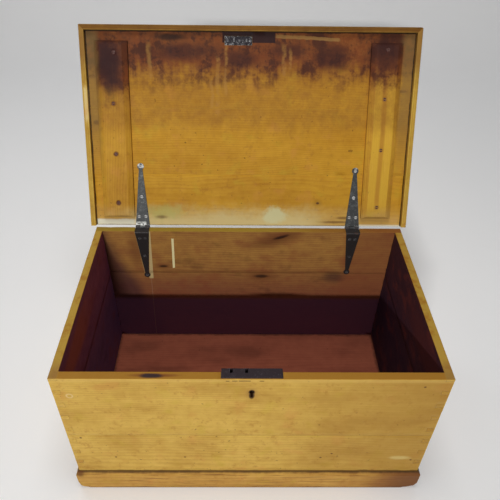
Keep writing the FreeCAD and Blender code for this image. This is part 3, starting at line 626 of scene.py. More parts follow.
def back_wall_marks(wood, inside):
    """Marks on the back wall inside: knots, stains and a bright streak, with painted shade in the left corner and
    under the front wall's shadow line.
    """
    x, y, z = wood.point
    ragged = wood.jitter * 0.9
    tilted = z - x * 0.35
    dark = wood.spot(x, tilted, *LONG_KNOT, 0.5, ragged)
    halo = wood.spot(x, tilted, *LONG_KNOT_HALO, 0.9, ragged)
    wood.stain(halo * inside, LONG_KNOT_RED, 0.72)
    wood.stain(dark * inside, DIRT, 0.9)
    for centre, size in SMALL_KNOTS:
        around = wood.spot(x, z, centre, (size[0] * 1.9, size[1] * 2.4), 0.8, ragged)
        wood.stain(around * inside, SMALL_KNOT_RED, 0.6)
        wood.stain(wood.spot(x, z, centre, size, 0.5, ragged) * inside, DIRT, 0.8)
    redder = wood.step(x + wood.drift * 0.08, 0.275, 0.315) + wood.step(wood.cloud, 0.56, 0.7) * 0.5
    wood.stain(redder * inside, BOARD_RED, 0.58)
    damp = wood.spot(x, z, (0.273, 0.297), (0.03, 0.022), 0.7, ragged)
    wood.stain(damp * inside, WALL_DAMP, 0.65)
    # Painted shadow: the left wall's shadow on the back wall, a dark wedge widening downwards from the left
    # corner.
    corner = wood.step(x + INNER_X - (RIM - z) * 0.35 + wood.drift * 0.04, 0.03, -0.025)
    wood.stain(corner * inside, CORNER_SHADOW_PAINT, 0.82)
    # Painted shade: a purplish tone below the line where the front wall's shadow falls.
    shade = wood.step(z, 0.207, 0.188)
    wood.stain(shade * inside, SHADED, 0.8)
    # A narrow bright upright streak high on the back wall.
    bright_streak = wood.step(abs(x + 0.2325 - (z - 0.39) * 0.03), 3.8 * MM, 3.0 * MM)
    bright_streak = bright_streak * wood.band(z + wood.jitter * 0.01, 0.334, 0.45, 2 * MM)
    wood.stain(bright_streak * inside, BRIGHT_STREAK, 0.95)
    strap_low, strap_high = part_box("box_strap_left")
    down = (RIM - z) / (RIM - strap_low.z)
    half = 0.0215 - down * 0.0155                    # the strap tapers, and its ghost follows it
    middle = (strap_low.x + strap_high.x) / 2
    to_right = x - middle - half
    ghost = wood.band(to_right / (3 * MM + down * (8 * MM)), 0.0, 1.0, 0.15) * wood.step(down, 1.06, 1.02)
    to_left = middle - half - x
    ghost = ghost + wood.band(to_left, 0.0, 0.8 * MM, 0.6 * MM) * wood.step(down, 0.98, 0.92) * 0.6
    wood.stain(ghost * inside, STRAP_GHOST, 0.75)
    smear = wood.spot(x, z, (-0.345, 0.4), (0.02, 0.06), 0.8, ragged)
    wood.stain(smear * inside, SMEAR, 0.6)
    thread = wood.step(abs(x + 0.3095 - (z - 0.283) * 0.027), 0.9 * MM, 0.3 * MM)
    thread = thread * wood.band(z, 0.024, 0.285, 2 * MM)
    wood.stain(thread * inside, THREAD, 0.55)


LEFT_LIT_PAINT = (0.4, 0.095, 0.055)
RIGHT_SHADE_PAINT = (0.085, 0.022, 0.024)


def side_wall_marks(wood, inside):
    """Painted light and shade under the rims near the front: a lighter red strip where light reaches the left
    wall, and a darker strip on the right wall.
    """
    x, y, z = wood.point
    # Painted light on the left wall's strip, painted shade on the right wall's.
    under_rim = wood.band(z + wood.drift * 0.06, 0.395, 0.44, 0.03) * wood.step(y, 0.1, -0.1)
    painted_light_and_shade = wood.mix(LEFT_LIT_PAINT, RIGHT_SHADE_PAINT, wood.step(x, -0.1, 0.1))
    wood.stain(under_rim * inside, painted_light_and_shade, 0.8)


RIM_CRACKS = ((-0.058, -0.052), (-0.044, -0.034), (-0.029, -0.004), (0.018, 0.026))
CRACK_HEIGHT = RIM - 7 * MM
KEYHOLE = RIM - 48.5 * MM
FILLED_HOLE = (-0.42, 0.415)
DOTS = ((-0.349, 0.146), (-0.169, 0.146), (0.187, 0.144), (0.214, 0.164), (0.427, 0.133),
        (-0.425, 0.238), (0.395, 0.452))
FILLER = (0.8, 0.66, 0.36)
SCRAPED = (0.66, 0.52, 0.2)
DOT = (0.1, 0.035, 0.012)
KEYHOLE_SHADE_PAINT = (0.01, 0.006, 0.004)
KEY_WORN = (0.34, 0.17, 0.04)
KEY_GRIME = (0.03, 0.013, 0.008)
FLARE = (0.16, 0.035, 0.015)
SCORCH = (0.03, 0.022, 0.028)


def front_marks(wood, inside):
    """Filled holes, dots, wear round the keyhole, painted shade inside the keyhole and a scorch on the front wall.
    """
    x, y, z = wood.point
    outside = 1 - inside
    ragged = wood.jitter * 0.8
    filled = wood.spot(x, z, FILLED_HOLE, (0.0085, 0.0085), 0.25, ragged * 0.3)
    hollow = wood.spot(x, z, FILLED_HOLE, (0.0055, 0.0055), 0.25, ragged * 0.3)
    wood.stain((filled - hollow) * outside, FILLER, 0.5)
    pale = wood.spot(x, z, (0.396, 0.143), (0.026, 0.0085), 0.5, ragged)
    wood.stain(pale * outside, SCRAPED, 0.6)
    for centre in DOTS:
        dot = wood.spot(x, z, centre, (0.003, 0.003), 0.4, ragged * 0.5)
        wood.stain(dot * outside, DOT, 0.85)
        wood.height = wood.height - dot
    dash = wood.step(abs(z - CRACK_HEIGHT + wood.jitter * 0.002), 1.7 * MM, 0.8 * MM)
    for start, end in RIM_CRACKS:
        wood.stain(dash * wood.band(x, start, end, 2 * MM) * outside, DIRT, 0.85)
    # Painted shade: the keyhole's inside walls are darkened.
    bore = wood.spot(x, z, (0, KEYHOLE), (7 * MM, 7 * MM), 0.05)
    slot = wood.step(abs(x), 4.2 * MM, 3.6 * MM) * wood.band(z, RIM - 71 * MM, RIM - 48 * MM, 0.5 * MM)
    sunk = wood.step(y, FRONT + 0.3 * MM, FRONT + 0.9 * MM)
    wood.stain(wood.high(bore, slot) * sunk, KEYHOLE_SHADE_PAINT, 0.97)
    worn = wood.spot(x, z, (0, KEYHOLE - 3.5 * MM), (14 * MM, 18 * MM), 0.5, ragged)
    wood.stain(worn * outside, KEY_WORN, 0.5)
    head = wood.spot(x, z, (0, KEYHOLE - 0.5 * MM), (7.4 * MM, 9 * MM), 0.25, ragged * 0.3)
    foot = wood.spot(x, z, (0, KEYHOLE - 12.5 * MM), (6.6 * MM, 14 * MM), 0.25, ragged * 0.3)
    wood.stain(wood.high(head, foot) * outside, KEY_GRIME, 0.85)
    scorch = wood.spot(x, y, (-0.226, FRONT + 9 * MM), (0.024, 0.0062), 0.4, ragged)
    flare = wood.spot(x, y, (-0.22, FRONT + 10 * MM), (0.05, 0.0045), 0.6, ragged)
    top = wood.step(z, RIM - 2.5 * MM, RIM - 1.0 * MM)
    wood.stain(flare * top, FLARE, 0.7)
    wood.stain(scorch * top, SCORCH, 0.92)


# Each wall's inside: its tones near the rim, its tone further down, and its marks. The side walls' tones and the
# tones further down are painted shade; the front wall's inside has the right wall's tones.
WALLS = {"front": (RIGHT_INSIDE, DEEP_RIGHT, front_marks),
         "back": (BACK_INSIDE, DEEP_BACK, back_wall_marks),
         "left": (LEFT_INSIDE, DEEP_LEFT, side_wall_marks),
         "right": (RIGHT_INSIDE, DEEP_RIGHT, side_wall_marks)}


# -------- lid pine

# Places on the lid are x and the reach from the hinge axis towards the front. A mark has its middle and its
# half sizes. A drip has x, half its width, and where it starts and ends.
BRUISES = (((0.235, 0.49), (0.045, 0.032)), ((-0.185, 0.502), (0.085, 0.018)),
           ((-0.395, 0.455), (0.03, 0.06)), ((0.375, 0.5), (0.038, 0.04)),
           ((0.11, 0.505), (0.04, 0.018)), ((-0.035, 0.48), (0.04, 0.02)))
DRIPS = ((-0.283, 0.005, 0.445, 0.515), (-0.093, 0.005, 0.342, 0.48), (-0.07, 0.003, 0.4, 0.535),
         (0.092, 0.005, 0.452, 0.512), (0.108, 0.003, 0.462, 0.5), (-0.11, 0.003, 0.355, 0.42))
STREAKS = (((0.262, 0.017), (0.04, 0.0035)), ((0.285, 0.03), (0.018, 0.004)),
           ((-0.262, 0.03), (0.016, 0.005)))
SMOKE = (0.29, 0.122, 0.02)
DAMP = (0.158, 0.037, 0.015)
DAMP_THIN = (0.23, 0.066, 0.02)
DAMP_BLACK = (0.052, 0.017, 0.012)
BATTEN_DAMP = (0.055, 0.019, 0.014)
BATTEN_SCORCH = (0.026, 0.01, 0.013)
BRUISE = (0.036, 0.013, 0.013)
DRIP = (0.46, 0.235, 0.055)
DULL = (0.235, 0.15, 0.05)
BLEACHED = (0.67, 0.56, 0.27)
CHALK = (0.78, 0.77, 0.62)
CHALK_SPOT = (0.64, 0.6, 0.33)
MOULD = (0.42, 0.4, 0.1)
OLD_EDGE = (0.06, 0.03, 0.012)
STREAK = (0.085, 0.03, 0.012)
LIP_SHADE_PAINT = (0.012, 0.006, 0.005)
CASE_PRINT = (0.02, 0.01, 0.013)
PALE_SCRAPE = (0.36, 0.2, 0.06)
GLUE = (0.66, 0.42, 0.07)


def lid_pine(label, axes, seed, tone=AMBER, batten=False):
    """Lid wood: amber, stained dark by damp along the front edge and bleached along the rear one."""
    wood = Pine(label, SHUT, axes, seed, tone)
    x, y, z = wood.point
    reach = -y
    wood.tint()
    under = wood.step(z, LID_UNDER + 3 * MM, LID_UNDER + 1.5 * MM)
    if batten:
        screw_holes(wood)
    if label == "lid_batten_right":
        heart_stripe(wood)
    runs = wood.noise(wood.point, (60, 5, 5), detail=2, shift=4.2)
    patch = wood.noise(wood.point, (12, 14, 9), detail=4, rough=0.65, shift=8.1)
    fine = wood.noise(wood.point, (48, 40, 40), detail=4, rough=0.7, shift=2.3)
    run, sway, grit = (signal - 0.5 for signal in (runs, patch, fine))
    ragged = run * 0.045 + sway * 0.11 + grit * 0.035

    smoky = wood.band(reach + ragged * 0.7, 0.33, 0.47, 0.07) * (0.62 + grit * 1.3)
    wood.stain(smoky * under, SMOKE, 0.82)
    start = wood.step(x, -0.1, 0.1, 0.4, 0.432) if batten else 0.445
    damp = wood.step(reach + ragged - start, -0.045, 0.035)
    wood.stain(damp * under, wood.mix(DAMP, DAMP_THIN, wood.step(fine, 0.46, 0.62)), 0.92)
    black = damp * wood.step(patch + run * 0.25 + grit * 1.0, 0.4, 0.66)
    wood.stain(black * under, DAMP_BLACK, 0.85)
    if batten:
        soaked = wood.step(reach + ragged * 0.6 - start, 0.03, 0.08)
        wood.stain(soaked * under, BATTEN_DAMP, 0.6)
        scorch = wood.spot(x, reach, (-0.395, 0.47), (0.024, 0.06), 0.6, grit * 1.6)
        wood.stain(scorch * under, BATTEN_SCORCH, 0.75)
    for centre, size in BRUISES:
        wood.stain(wood.spot(x, reach, centre, size, 0.6, grit * 2.0) * under, BRUISE, 0.65)
    for place, half, start, end in DRIPS:
        drip = wood.step(abs(x + sway * 0.025 - place), half + 3.5 * MM, half * 0.4)
        drip = drip * wood.band(reach + grit * 0.05, start, end, 0.02) * wood.step(fine, 0.32, 0.56)
        wood.stain(drip * under, DRIP, 0.42)

    dull = wood.step(abs(x) + grit * 0.02, 0.415, 0.435) * wood.step(reach, 0.1, 0.34)
    wood.stain(dull * under, DULL, 0.55)

    middle = wood.band(x, -0.3, 0.16, 0.1) * 0.6 + 0.3
    faded = wood.step(reach + sway * 0.06 + grit * 0.03, 0.08, 0.016)
    wood.stain(faded * middle * under, BLEACHED, 0.85)
    chalky = wood.spot(x, reach, (0.077, 0.038), (0.032, 0.024), 0.35, sway * 1.8 + grit)
    wood.stain(chalky * under, CHALK_SPOT, 0.85)
    mould = wood.spot(x, reach, (-0.25, 0.045), (0.05, 0.02), 0.7, grit * 2.0)
    wood.stain(mould * under, MOULD, 0.55)
    if not batten:
        board_edges(wood, under, sway, grit)
    above = wood.step(z, LID_TOP - 6 * MM, LID_TOP - 3 * MM)
    wood.stain(above, wood.mix(*HONEY, wood.grain), 0.75)
    return wood.finish(GLUE, 0.5)


def board_edges(wood, under, sway, grit):
    """Marks on the lid's boards near its four edges, where the battens don't reach."""
    x, y, z = wood.point
    reach = -y
    polished = wood.step(x + grit * 0.02, -0.335, -0.35)
    polished = polished * wood.step(reach + grit * 0.006, 0.026, 0.02)
    wood.stain(polished * under, CHALK, 0.92)
    rear_line = wood.step(x, 0.325, 0.335) * wood.step(reach, 10.5 * MM, 8.5 * MM)
    wood.stain(rear_line, CHALK, 0.8)
    old_edge = wood.step(reach + grit * 0.004, 8.5 * MM, 6.5 * MM) * wood.step(x, 0.32, 0.29)
    wood.stain(old_edge * under, OLD_EDGE, 0.6)
    for centre, size in STREAKS:
        wood.stain(wood.spot(x, reach, centre, size, 0.7, grit * 1.2) * under, STREAK, 0.6)
    # Painted shade in the corner where the boards meet the lips.
    to_lip = wood.low(LID_HALF - abs(x), y - LID_FRONT)
    corner = wood.step(to_lip + wood.jitter * 0.005, 4.5 * MM, 1.5 * MM)
    wood.stain(corner * under, LIP_SHADE_PAINT, 0.95)
    pressed = wood.band(x, -0.079, 0.067, 1 * MM) * wood.band(reach, 0.528, 0.5545, 2 * MM)
    wood.stain(pressed * under, CASE_PRINT, 0.92)
    pale = wood.band(x + grit * 0.03, 0.075, 0.24, 0.01)
    pale = pale * wood.band(reach + grit * 0.008 + (x - 0.15) * 0.05, 0.538, 0.545, 2 * MM)
    wood.stain(pale * under, PALE_SCRAPE, 0.6)
    smudge = wood.spot(x, reach, (-0.222, 0.54), (0.038, 0.008), 0.6, sway * 1.5)
    wood.stain(smudge * under, DIRT, 0.85)
    wood.worn_arris((-1, LID_FRONT - 1, LID_UNDER), (1, LID_REAR, LID_TOP), strength=0.3)


HEART_GOLD = (0.72, 0.43, 0.045)
HEART_BROWN = (0.4, 0.165, 0.022)


def screw_holes(wood):
    """Dirt and rust round the battens' screws."""
    x, y, z = wood.point
    for centre in BATTEN_SCREWS:
        ring = wood.spot(x, y, centre, (7.5 * MM, 7.5 * MM), 0.35, wood.jitter * 0.9)
        wood.stain(ring, RUSTED, 0.9)


def heart_stripe(wood):
    """The right batten's lengthwise stripes."""
    x, y, z = wood.point
    sway = wood.drift * 0.012
    heart = wood.step(abs(x + sway - 0.379), 10 * MM, 3 * MM) * wood.band(-y, 0.09, 0.42, 0.04)
    gold = wood.band(x + sway, 0.351, 0.407, 2 * MM) * wood.band(-y, 0.08, 0.44, 0.05)
    wood.stain(gold, HEART_GOLD, 0.6)
    wood.stain(heart, HEART_BROWN, 0.6)


LIP_HIGHLIGHT_PAINT = (0.8, 0.63, 0.29)
LIP_HANDLED = (0.23, 0.105, 0.03)


def lip_pine(label, axes, seed, tone):
    wood = Pine(label, SHUT, axes, seed, tone)
    x, y, z = wood.point
    low, high = box_in(label, SHUT)
    if label == "lid_lip_left":
        # A painted highlight along the left lip's outer edge.
        rubbed = wood.band(-y + wood.jitter * 0.05, 0.325, 0.39, 0.03)
        wood.stain(rubbed * wood.step(x, low.x + 3 * MM, low.x + 7 * MM), LIP_HIGHLIGHT_PAINT, 0.65)
    if label == "lid_lip_front":
        wood.worn_arris(low, high, strength=0.15, reach=3 * MM)
    else:
        wood.tint()
        wood.worn_arris(low, high, strength=0.45, reach=4 * MM)
        handled = wood.step(-y + wood.jitter * 0.06, 0.39, 0.5)
        wood.stain(handled, LIP_HANDLED, 0.75)
    return wood.finish()


# -------- plinth and bottom pine

PLINTH_RED = (0.27, 0.095, 0.022)
PLINTH_END = (0.17, 0.066, 0.024)
PLINTH_STREAK = (0.15, 0.055, 0.018)
PLINTH_FOOT = (0.1, 0.045, 0.016)
LEDGE_DIRT_AND_SHADE = (0.06, 0.028, 0.012)
LEFT_END_STAIN = (0.13, 0.04, 0.014)
FLOOR_CLOUD = (0.2, 0.06, 0.035)


def plinth_pine(label, axes, seed):
    wood = Pine(label, STAYS, axes, seed, PLINTH)
    x, y, z = wood.point
    wood.tint()
    wood.stain(wood.step(x + wood.drift * 0.3, 0.16, 0.42), PLINTH_RED, 0.75)
    wood.stain(wood.step(x + wood.drift * 0.1, 0.3, 0.46), PLINTH_END, 0.85)
    streaks = wood.noise(wood.point, (9, 60, 170), detail=3, shift=6.0)
    wood.stain(wood.step(streaks, 0.53, 0.68), PLINTH_STREAK, 0.6)
    foot = wood.step(z + wood.jitter * 0.014, 8 * MM, 1 * MM)
    wood.stain(foot, PLINTH_FOOT, 0.65)
    low, high = box_in(label, STAYS)
    wood.worn_arris(low - Vector((0, 0, 1)), high, strength=0.35)
    # Dirt and painted shade along the plinth's top edge.
    ledge = wood.step(z + wood.jitter * 0.006, PLINTH_TOP - 7 * MM, PLINTH_TOP - 1 * MM)
    wood.stain(ledge, LEDGE_DIRT_AND_SHADE, 0.85)
    end_stain = wood.spot(x, z, (-0.455, PLINTH_TOP - 6 * MM), (0.01, 0.012), 0.6, wood.jitter * 1.2)
    wood.stain(end_stain, LEFT_END_STAIN, 0.7)
    return wood.finish()


def floor_pine(label, seed):
    """The chest's bottom: old red inside and raw underneath."""
    wood = Pine(label, STAYS, ALONG_X, seed, FLOOR_RED)
    x, y, z = wood.point
    wood.stain(wood.step(wood.cloud, 0.45, 0.7), FLOOR_CLOUD, 0.5)
    near_wall = wood.low(INNER_X - abs(x), INNER_Y - abs(y))
    wood.stain(wood.step(near_wall + wood.jitter * 0.02, 12 * MM, 0), DIRT, 0.6)
    raw = wood.mix(*RAW, wood.grain)
    wood.stain(wood.step(z, FLOOR - 0.6 * MM, FLOOR - 1.2 * MM), raw)
    return wood.finish()


# -------- iron

RUST = (0.135, 0.045, 0.018)
GLINT_PAINT = (0.72, 0.73, 0.7)


def iron(name, dark, worn, wear, rust, bright_edge=0.6, grain=95, metal=0.65, glints=None, shine=0.5):
    """Old black iron: worn grey on its high places, bright on its edges, with a bloom of rust."""
    tree = Tree(name, shine)
    point = tree.place(STAYS)
    coarse = tree.noise(point, (grain, grain, grain), detail=5, rough=0.7)
    fine = tree.noise(point, (620, 620, 620))
    rubbed = tree.step(coarse + (fine - 0.5) * 0.9, 0.8 - wear * 0.4, 1.0 - wear * 0.2)
    colour = tree.mix(dark, worn, rubbed)
    edge = tree.face_mark() * tree.step(coarse, 0.38, 0.6)
    colour = tree.mix(colour, [value * 1.5 for value in worn], edge * bright_edge)
    bloom = tree.noise(point, (42, 42, 42), detail=5, shift=7.0)
    rusty = tree.step(bloom, 0.7 - rust * 0.2, 0.8 - rust * 0.2)
    colour = tree.mix(colour, RUST, rusty * 0.7)
    # Painted highlights on the parts that the given function picks.
    if glints:
        colour = tree.mix(colour, GLINT_PAINT, glints(tree, fine) * tree.step(coarse, 0.36, 0.52))
    roughness = 0.42 + fine * 0.22 + rusty * 0.25
    height = coarse * 0.6 + fine * 0.4
    return tree.connect(colour, roughness, height, 0.3 * MM, metal - rusty * (0.75 * metal))


def strap_glints(tree, fine):
    """Painted highlights on the lid strap: its finial, and the left strap beside its knuckle."""
    x, y, z = tree.place(SHUT)
    low, high = box_in("lid_strap_left", SHUT)
    finial = tree.step(y, low.y + 15 * MM, low.y + 11 * MM) * 0.55
    root = tree.band(-y + (fine - 0.5) * 0.004, 0.005, 0.014, 3 * MM)
    root = root * tree.step(x, high.x - 8 * MM, high.x - 13 * MM)
    return finial + root * 0.8


# -------- carcass boards

CARCASS = []
for side in (1, -1):
    x = -side * HALF_WIDTH
    y = FRONT if side == 1 else BACK
    inner_y = y + side * BOARD
    CARCASS += [Arris((X, x, side), (Y, FRONT, 1), 1.5 * MM), Arris((X, x, side), (Y, BACK, -1), 1.5 * MM),
                Arris((X, x, side), (Z, RIM, -1), 1.5 * MM), Arris((Y, y, side), (Z, RIM, -1), 1.5 * MM),
                Arris((X, x, side), (Z, 0, 1), 0.9 * MM), Arris((Y, y, side), (Z, 0, 1), 0.9 * MM),
                Arris((X, x + side * BOARD, -side), (Z, RIM, -1), 1.1 * MM, -INNER_Y, INNER_Y),
                Arris((Y, inner_y, -side), (Z, RIM, -1), 1.1 * MM, -INNER_X, INNER_X)]
LID = [Arris((Y, LID_REAR, -1), (Z, LID_UNDER, 1), 1.0 * MM),
       Arris((Y, LID_REAR, -1), (Z, LID_TOP, -1), 1.3 * MM)]
UNDERSIDE = (Z, LID_UNDER, 1)
BATTEN_FACE = (Z, box_in("lid_batten_right", SHUT)[0].z, 1)
CRACKS = {
    "front_board_upper": [Crack(X, Z, CRACK_HEIGHT, start, end, (Y, FRONT, 1))
                          for start, end in RIM_CRACKS],
    "lid_board_front": [Crack(X, Y, -0.4345, -0.456, -0.439, UNDERSIDE),
                        Crack(X, Y, -0.4, 0.428, 0.442, UNDERSIDE)],
    "lid_board_middle": [Crack(X, Y, -0.3075, -0.456, -0.436, UNDERSIDE)],
    "lid_batten_right": [Crack(Y, X, 0.3905, -0.207, -0.172, BATTEN_FACE),
                         Crack(Y, X, 0.3545, -0.195, -0.174, BATTEN_FACE)],
}


def worn_board(label, space, arrises, material):
    """A board with dirt lines at its joints and worn arrises."""
    bm = editable(label, space)
    joints = [edge for edge in sharp_edges(bm) if not any(arris.holds(edge) for arris in arrises)]
    soften(bm, joints, 0.28 * MM)
    low = [min(vertex.co[axis] for vertex in bm.verts) for axis in (X, Y, Z)]
    high = [max(vertex.co[axis] for vertex in bm.verts) for axis in (X, Y, Z)]
    near = [arris for arris in arrises
            if all(low[axis] - TOUCH <= place <= high[axis] + TOUCH for axis, place, side in arris.planes)]
    knock_about(bm, near + CRACKS.get(label, []), 0.14 * MM, 22)
    stand_in(bm, label, space, material)


for number, label in enumerate(f"{wall}_board_{place}" for wall in WALLS for place in ("upper", "lower")):
    axes = ALONG_X_UPRIGHT if label.startswith(("front", "back")) else ALONG_Y_UPRIGHT
    worn_board(label, STAYS, CARCASS, carcass_pine(label, axes, number + 1))
for number, place in enumerate(("front", "middle", "rear")):
    label = f"bottom_board_{place}"
    worn_board(label, STAYS, CARCASS, floor_pine(label, number + 12))

# -------- lid boards, battens, lip and plinth

for number, place in enumerate(("front", "middle", "rear")):
    label = f"lid_board_{place}"
    worn_board(label, SHUT, LID, lid_pine(label, ALONG_X, number + 17))


def edged_piece(label, space, material, width, wears=()):
    """A moulding or batten with every edge eased, then knocked about."""
    bm = editable(label, space)
    soften(bm, sharp_edges(bm), width, 2, mark=0.0)
    knock_about(bm, wears, 0.2 * MM, 30)
    stand_in(bm, label, space, material)


BATTEN_SCREWS = [centre[:2] for centre in islands("lid_batten_screws", SHUT)]
lip_low, lip_high = box_in("lid_lip_front", SHUT)
LIP_CORNERS = [Arris((X, side * lip_high.x, -side), (Y, lip_low.y, 1), radius)
               for side, radius in ((-1, 6 * MM), (1, 9 * MM))]
PLINTH_CORNERS = [Corner((-plinth_high.x, plinth_low.y, 0), (1, 1, 1), (30 * MM, 8 * MM, 12 * MM)),
                  Corner((-plinth_high.x, plinth_low.y, 0), (1, 1, 1), (12 * MM, 8 * MM, 34 * MM)),
                  Corner((plinth_high.x, plinth_low.y, 0), (-1, 1, 1), (46 * MM, 9 * MM, 15 * MM)),
                  Corner((plinth_high.x, plinth_low.y, 0), (-1, 1, 1), (16 * MM, 9 * MM, 32 * MM)),
                  Arris((X, -plinth_high.x, 1), (Y, plinth_low.y, 1), 3 * MM),
                  Arris((X, plinth_high.x, -1), (Y, plinth_low.y, 1), 5 * MM)]
for number, side in enumerate(("left", "right")):
    label = f"lid_batten_{side}"
    pine = lid_pine(label, ALONG_Y, number + 23, BATTEN, batten=True)
    edged_piece(label, SHUT, pine, 0.7 * MM, CRACKS.get(label, ()))
    label = f"lid_lip_{side}"
    edged_piece(label, SHUT, lip_pine(label, ALONG_Y, number + 25, SIDE_LIP), 0.5 * MM, LIP_CORNERS)
    label = f"plinth_{side}"
    edged_piece(label, STAYS, plinth_pine(label, ALONG_Y_UPRIGHT, number + 27), 1.0 * MM, PLINTH_CORNERS)
pine = lip_pine("lid_lip_front", ALONG_X, 29, FRONT_LIP)
edged_piece("lid_lip_front", SHUT, pine, 0.5 * MM, LIP_CORNERS)
pine = plinth_pine("plinth_front", ALONG_X_UPRIGHT, 30)
edged_piece("plinth_front", STAYS, pine, 1.0 * MM, PLINTH_CORNERS)

# -------- ironwork

# Each iron's dark and worn colours, then how far it is worn and how far it is rusted
BLACK = (0.052, 0.046, 0.046)
GREY = (0.052, 0.055, 0.056)
LINK = iron("iron_link", (0.11, 0.108, 0.115), (0.5, 0.5, 0.52), 0.75, 0.15, metal=0.3)
IRONS = {
    "lid_strap": iron("iron_lid_strap", GREY, (0.21, 0.22, 0.22), 0.75, 0.22, bright_edge=0.9,
                      glints=strap_glints),
    # Painted highlights: the strap screws' worn colour is near white.
    "lid_strap_screws": iron("iron_strap_screws", (0.34, 0.34, 0.34), (0.88, 0.88, 0.87), 1.0, 0.0,
                             metal=0.1),
    "box_strap": iron("iron_box_strap", BLACK, (0.19, 0.18, 0.18), 0.35, 0.15, bright_edge=0.3),
    # Painted glints: the box strap screws' worn colour is pale.
    "box_strap_screws": iron("iron_inner_screws", (0.06, 0.056, 0.06), (0.5, 0.5, 0.52), 0.55, 0.1,
                             metal=0.2),
    "hinge_pin": iron("iron_pin", (0.08, 0.075, 0.07), (0.45, 0.44, 0.42), 0.7, 0.3),
    "lock_case": iron("iron_lock_case", (0.036, 0.025, 0.031), (0.2, 0.185, 0.21), 0.5, 0.15,
                      grain=140),
    "lock": iron("iron_lock_works", (0.06, 0.055, 0.05), (0.34, 0.32, 0.29), 0.6, 0.2),
    # The link plate's pale worn colour is partly wear and partly painted glints.
    "link_plate": iron("iron_link_plate", (0.02, 0.017, 0.022), (0.64, 0.64, 0.64), 0.66, 0.15,
                       grain=120, metal=0.2, shine=0.15),
    "link_plate_screws": LINK,
    "link": LINK,
    "screws": iron("iron_screws", (0.075, 0.02, 0.014), (0.5, 0.42, 0.38), 0.4, 1.0, grain=240,
                   metal=0.2),
    "nails": iron("iron_nails", (0.03, 0.022, 0.018), (0.1, 0.08, 0.07), 0.3, 0.7),
}


def iron_for(label):
    if label in IRONS:
        return IRONS[label]
    if label.endswith(("screws", "nails")):
        return IRONS[label.split("_")[-1]]
    return next(material for start, material in IRONS.items() if label.startswith(start))


def forged(label, space, width, spacing, depth):
    """An iron piece with filed edges and a hammered, pitted face."""
    bm = editable(label, space)
    soften(bm, sharp_edges(bm, 0), width, 2)
    cut_up(bm, (), spacing)
    wave(bm, depth, 160)
    stand_in(bm, label, space, iron_for(label), crease=35)


FORGED = {                                     # bevel, patch size and hammering of each kind
    "lid_strap": (0.45 * MM, 3.5 * MM, 0.16 * MM),
    "box_strap": (0.45 * MM, 3.5 * MM, 0.16 * MM),
    "lock_case": (0.35 * MM, 5 * MM, 0.1 * MM),
    "link_plate": (0.35 * MM, 3 * MM, 0.16 * MM),
    "link_staples": (0.7 * MM, 2.5 * MM, 0.12 * MM),
}
PLAIN_IRON = (0.16 * MM, 1.0, 0.0)
for label in sorted(NODES):
    if not NODES[label].hide_render:
        width, spacing, depth = next((sizes for start, sizes in FORGED.items()
                                      if label.startswith(start) and "screws" not in label), PLAIN_IRON)
        space = SHUT if BODIES[label] == "lid" else STAYS
        forged(label, space, width, spacing, depth)


# -------- floor, light and camera

GLOW = 0.12                            # keeps the floor as bright as a lit studio cloth


def plain(name, colour, roughness):
    tree = Tree(name)
    tree.shader.inputs["Emission Color"].default_value = (1, 1, 1, 1)
    tree.shader.inputs["Emission Strength"].default_value = GLOW
    tone = tree.noise(tree.place(STAYS), (3, 3, 3))
    return tree.connect(tree.mix(colour, [value * 0.97 for value in colour], tone), roughness)


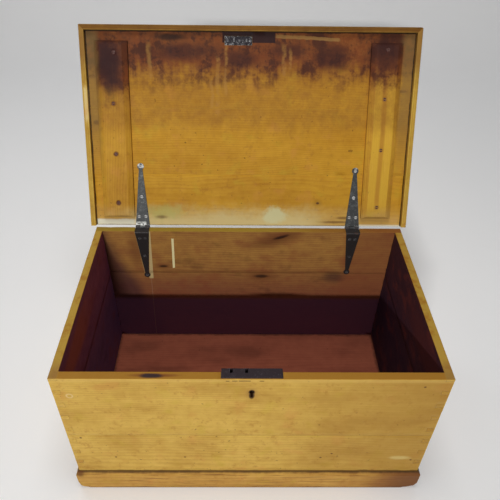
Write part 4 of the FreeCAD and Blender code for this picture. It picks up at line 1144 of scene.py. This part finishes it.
def backdrop():
    """A pale floor that curves up into a wall behind the lid."""
    mesh = bpy.data.meshes.new("backdrop")
    obj = add_object("backdrop", mesh)
    wall, radius, half, reach, steps = 2.6, 0.9, 6.0, -5.0, 16
    profile = [(reach, 0.0), (wall, 0.0)]
    for k in range(1, steps + 1):
        angle = math.pi / 2 * k / steps
        profile.append((wall + radius * math.sin(angle), radius * (1 - math.cos(angle))))
    profile.append((wall + radius, half))
    bm = bmesh.new()
    rows = [[bm.verts.new((x, y, z)) for y, z in profile] for x in (-half, half)]
    for i in range(len(profile) - 1):
        bm.faces.new((rows[0][i], rows[1][i], rows[1][i + 1], rows[0][i + 1])).smooth = True
    bm.to_mesh(mesh)
    bm.free()
    mesh.materials.append(plain("pale_sweep", (0.88, 0.88, 0.885), 0.9))


def light(name, place, target, energy, width, height, colour=(1, 1, 1)):
    data = bpy.data.lights.new(name, "AREA")
    data.shape = "RECTANGLE"
    data.energy = energy
    data.color = colour
    data.size, data.size_y = width, height
    obj = add_object(name, data)
    obj.location = place
    obj.rotation_euler = (Vector(target) - Vector(place)).to_track_quat("-Z", "Y").to_euler()


backdrop()
BRIM = Vector((0, FRONT + BOARD, RIM))
TOWARDS_KEY = Vector((-0.19, -1.0, 0.5176)).normalized()    # sets where the front wall's shadow falls
KEY_AWAY = 4.2
WORLD_STRENGTH = 0.09
light("key", BRIM + KEY_AWAY * TOWARDS_KEY, BRIM, 104, 0.42, 0.07, (1.0, 0.985, 0.96))
light("top_fill", (0.0, -0.25, 3.4), (0, 0, 0.3), 30, 1.0, 1.0)
light("rear_fill", (-1.6, 1.3, 2.6), (0, 0.3, 0.5), 10, 1.2, 1.2)

world = bpy.data.worlds.new("studio")
world.use_nodes = True
background = world.node_tree.nodes["Background"]
background.inputs["Color"].default_value = (0.95, 0.97, 1.0, 1)
background.inputs["Strength"].default_value = WORLD_STRENGTH
bpy.context.scene.world = world

SENSOR = 36.0
FOCAL = 1.0918                         # focal length as a share of the picture's width
CAMERA_PLACE = (-0.0356, -1.0215, 1.4945)
CAMERA_TURN = (-39.37, -0.85, 0.86)    # pitch, yaw and roll in degrees
camera_data = bpy.data.cameras.new("camera")
camera_data.sensor_width = SENSOR
camera_data.lens = FOCAL * SENSOR
camera_data.shift_x = 0.0133
camera_data.shift_y = -0.0194
camera = add_object("camera", camera_data)
pitch, yaw, roll = (math.radians(angle) for angle in CAMERA_TURN)
camera.matrix_world = (Matrix.Translation(CAMERA_PLACE) @ Matrix.Rotation(yaw, 4, "Z")
                       @ Matrix.Rotation(math.pi / 2 + pitch, 4, "X") @ Matrix.Rotation(roll, 4, "Z"))
bpy.context.scene.camera = camera
bpy.context.scene.view_settings.view_transform = "Standard"
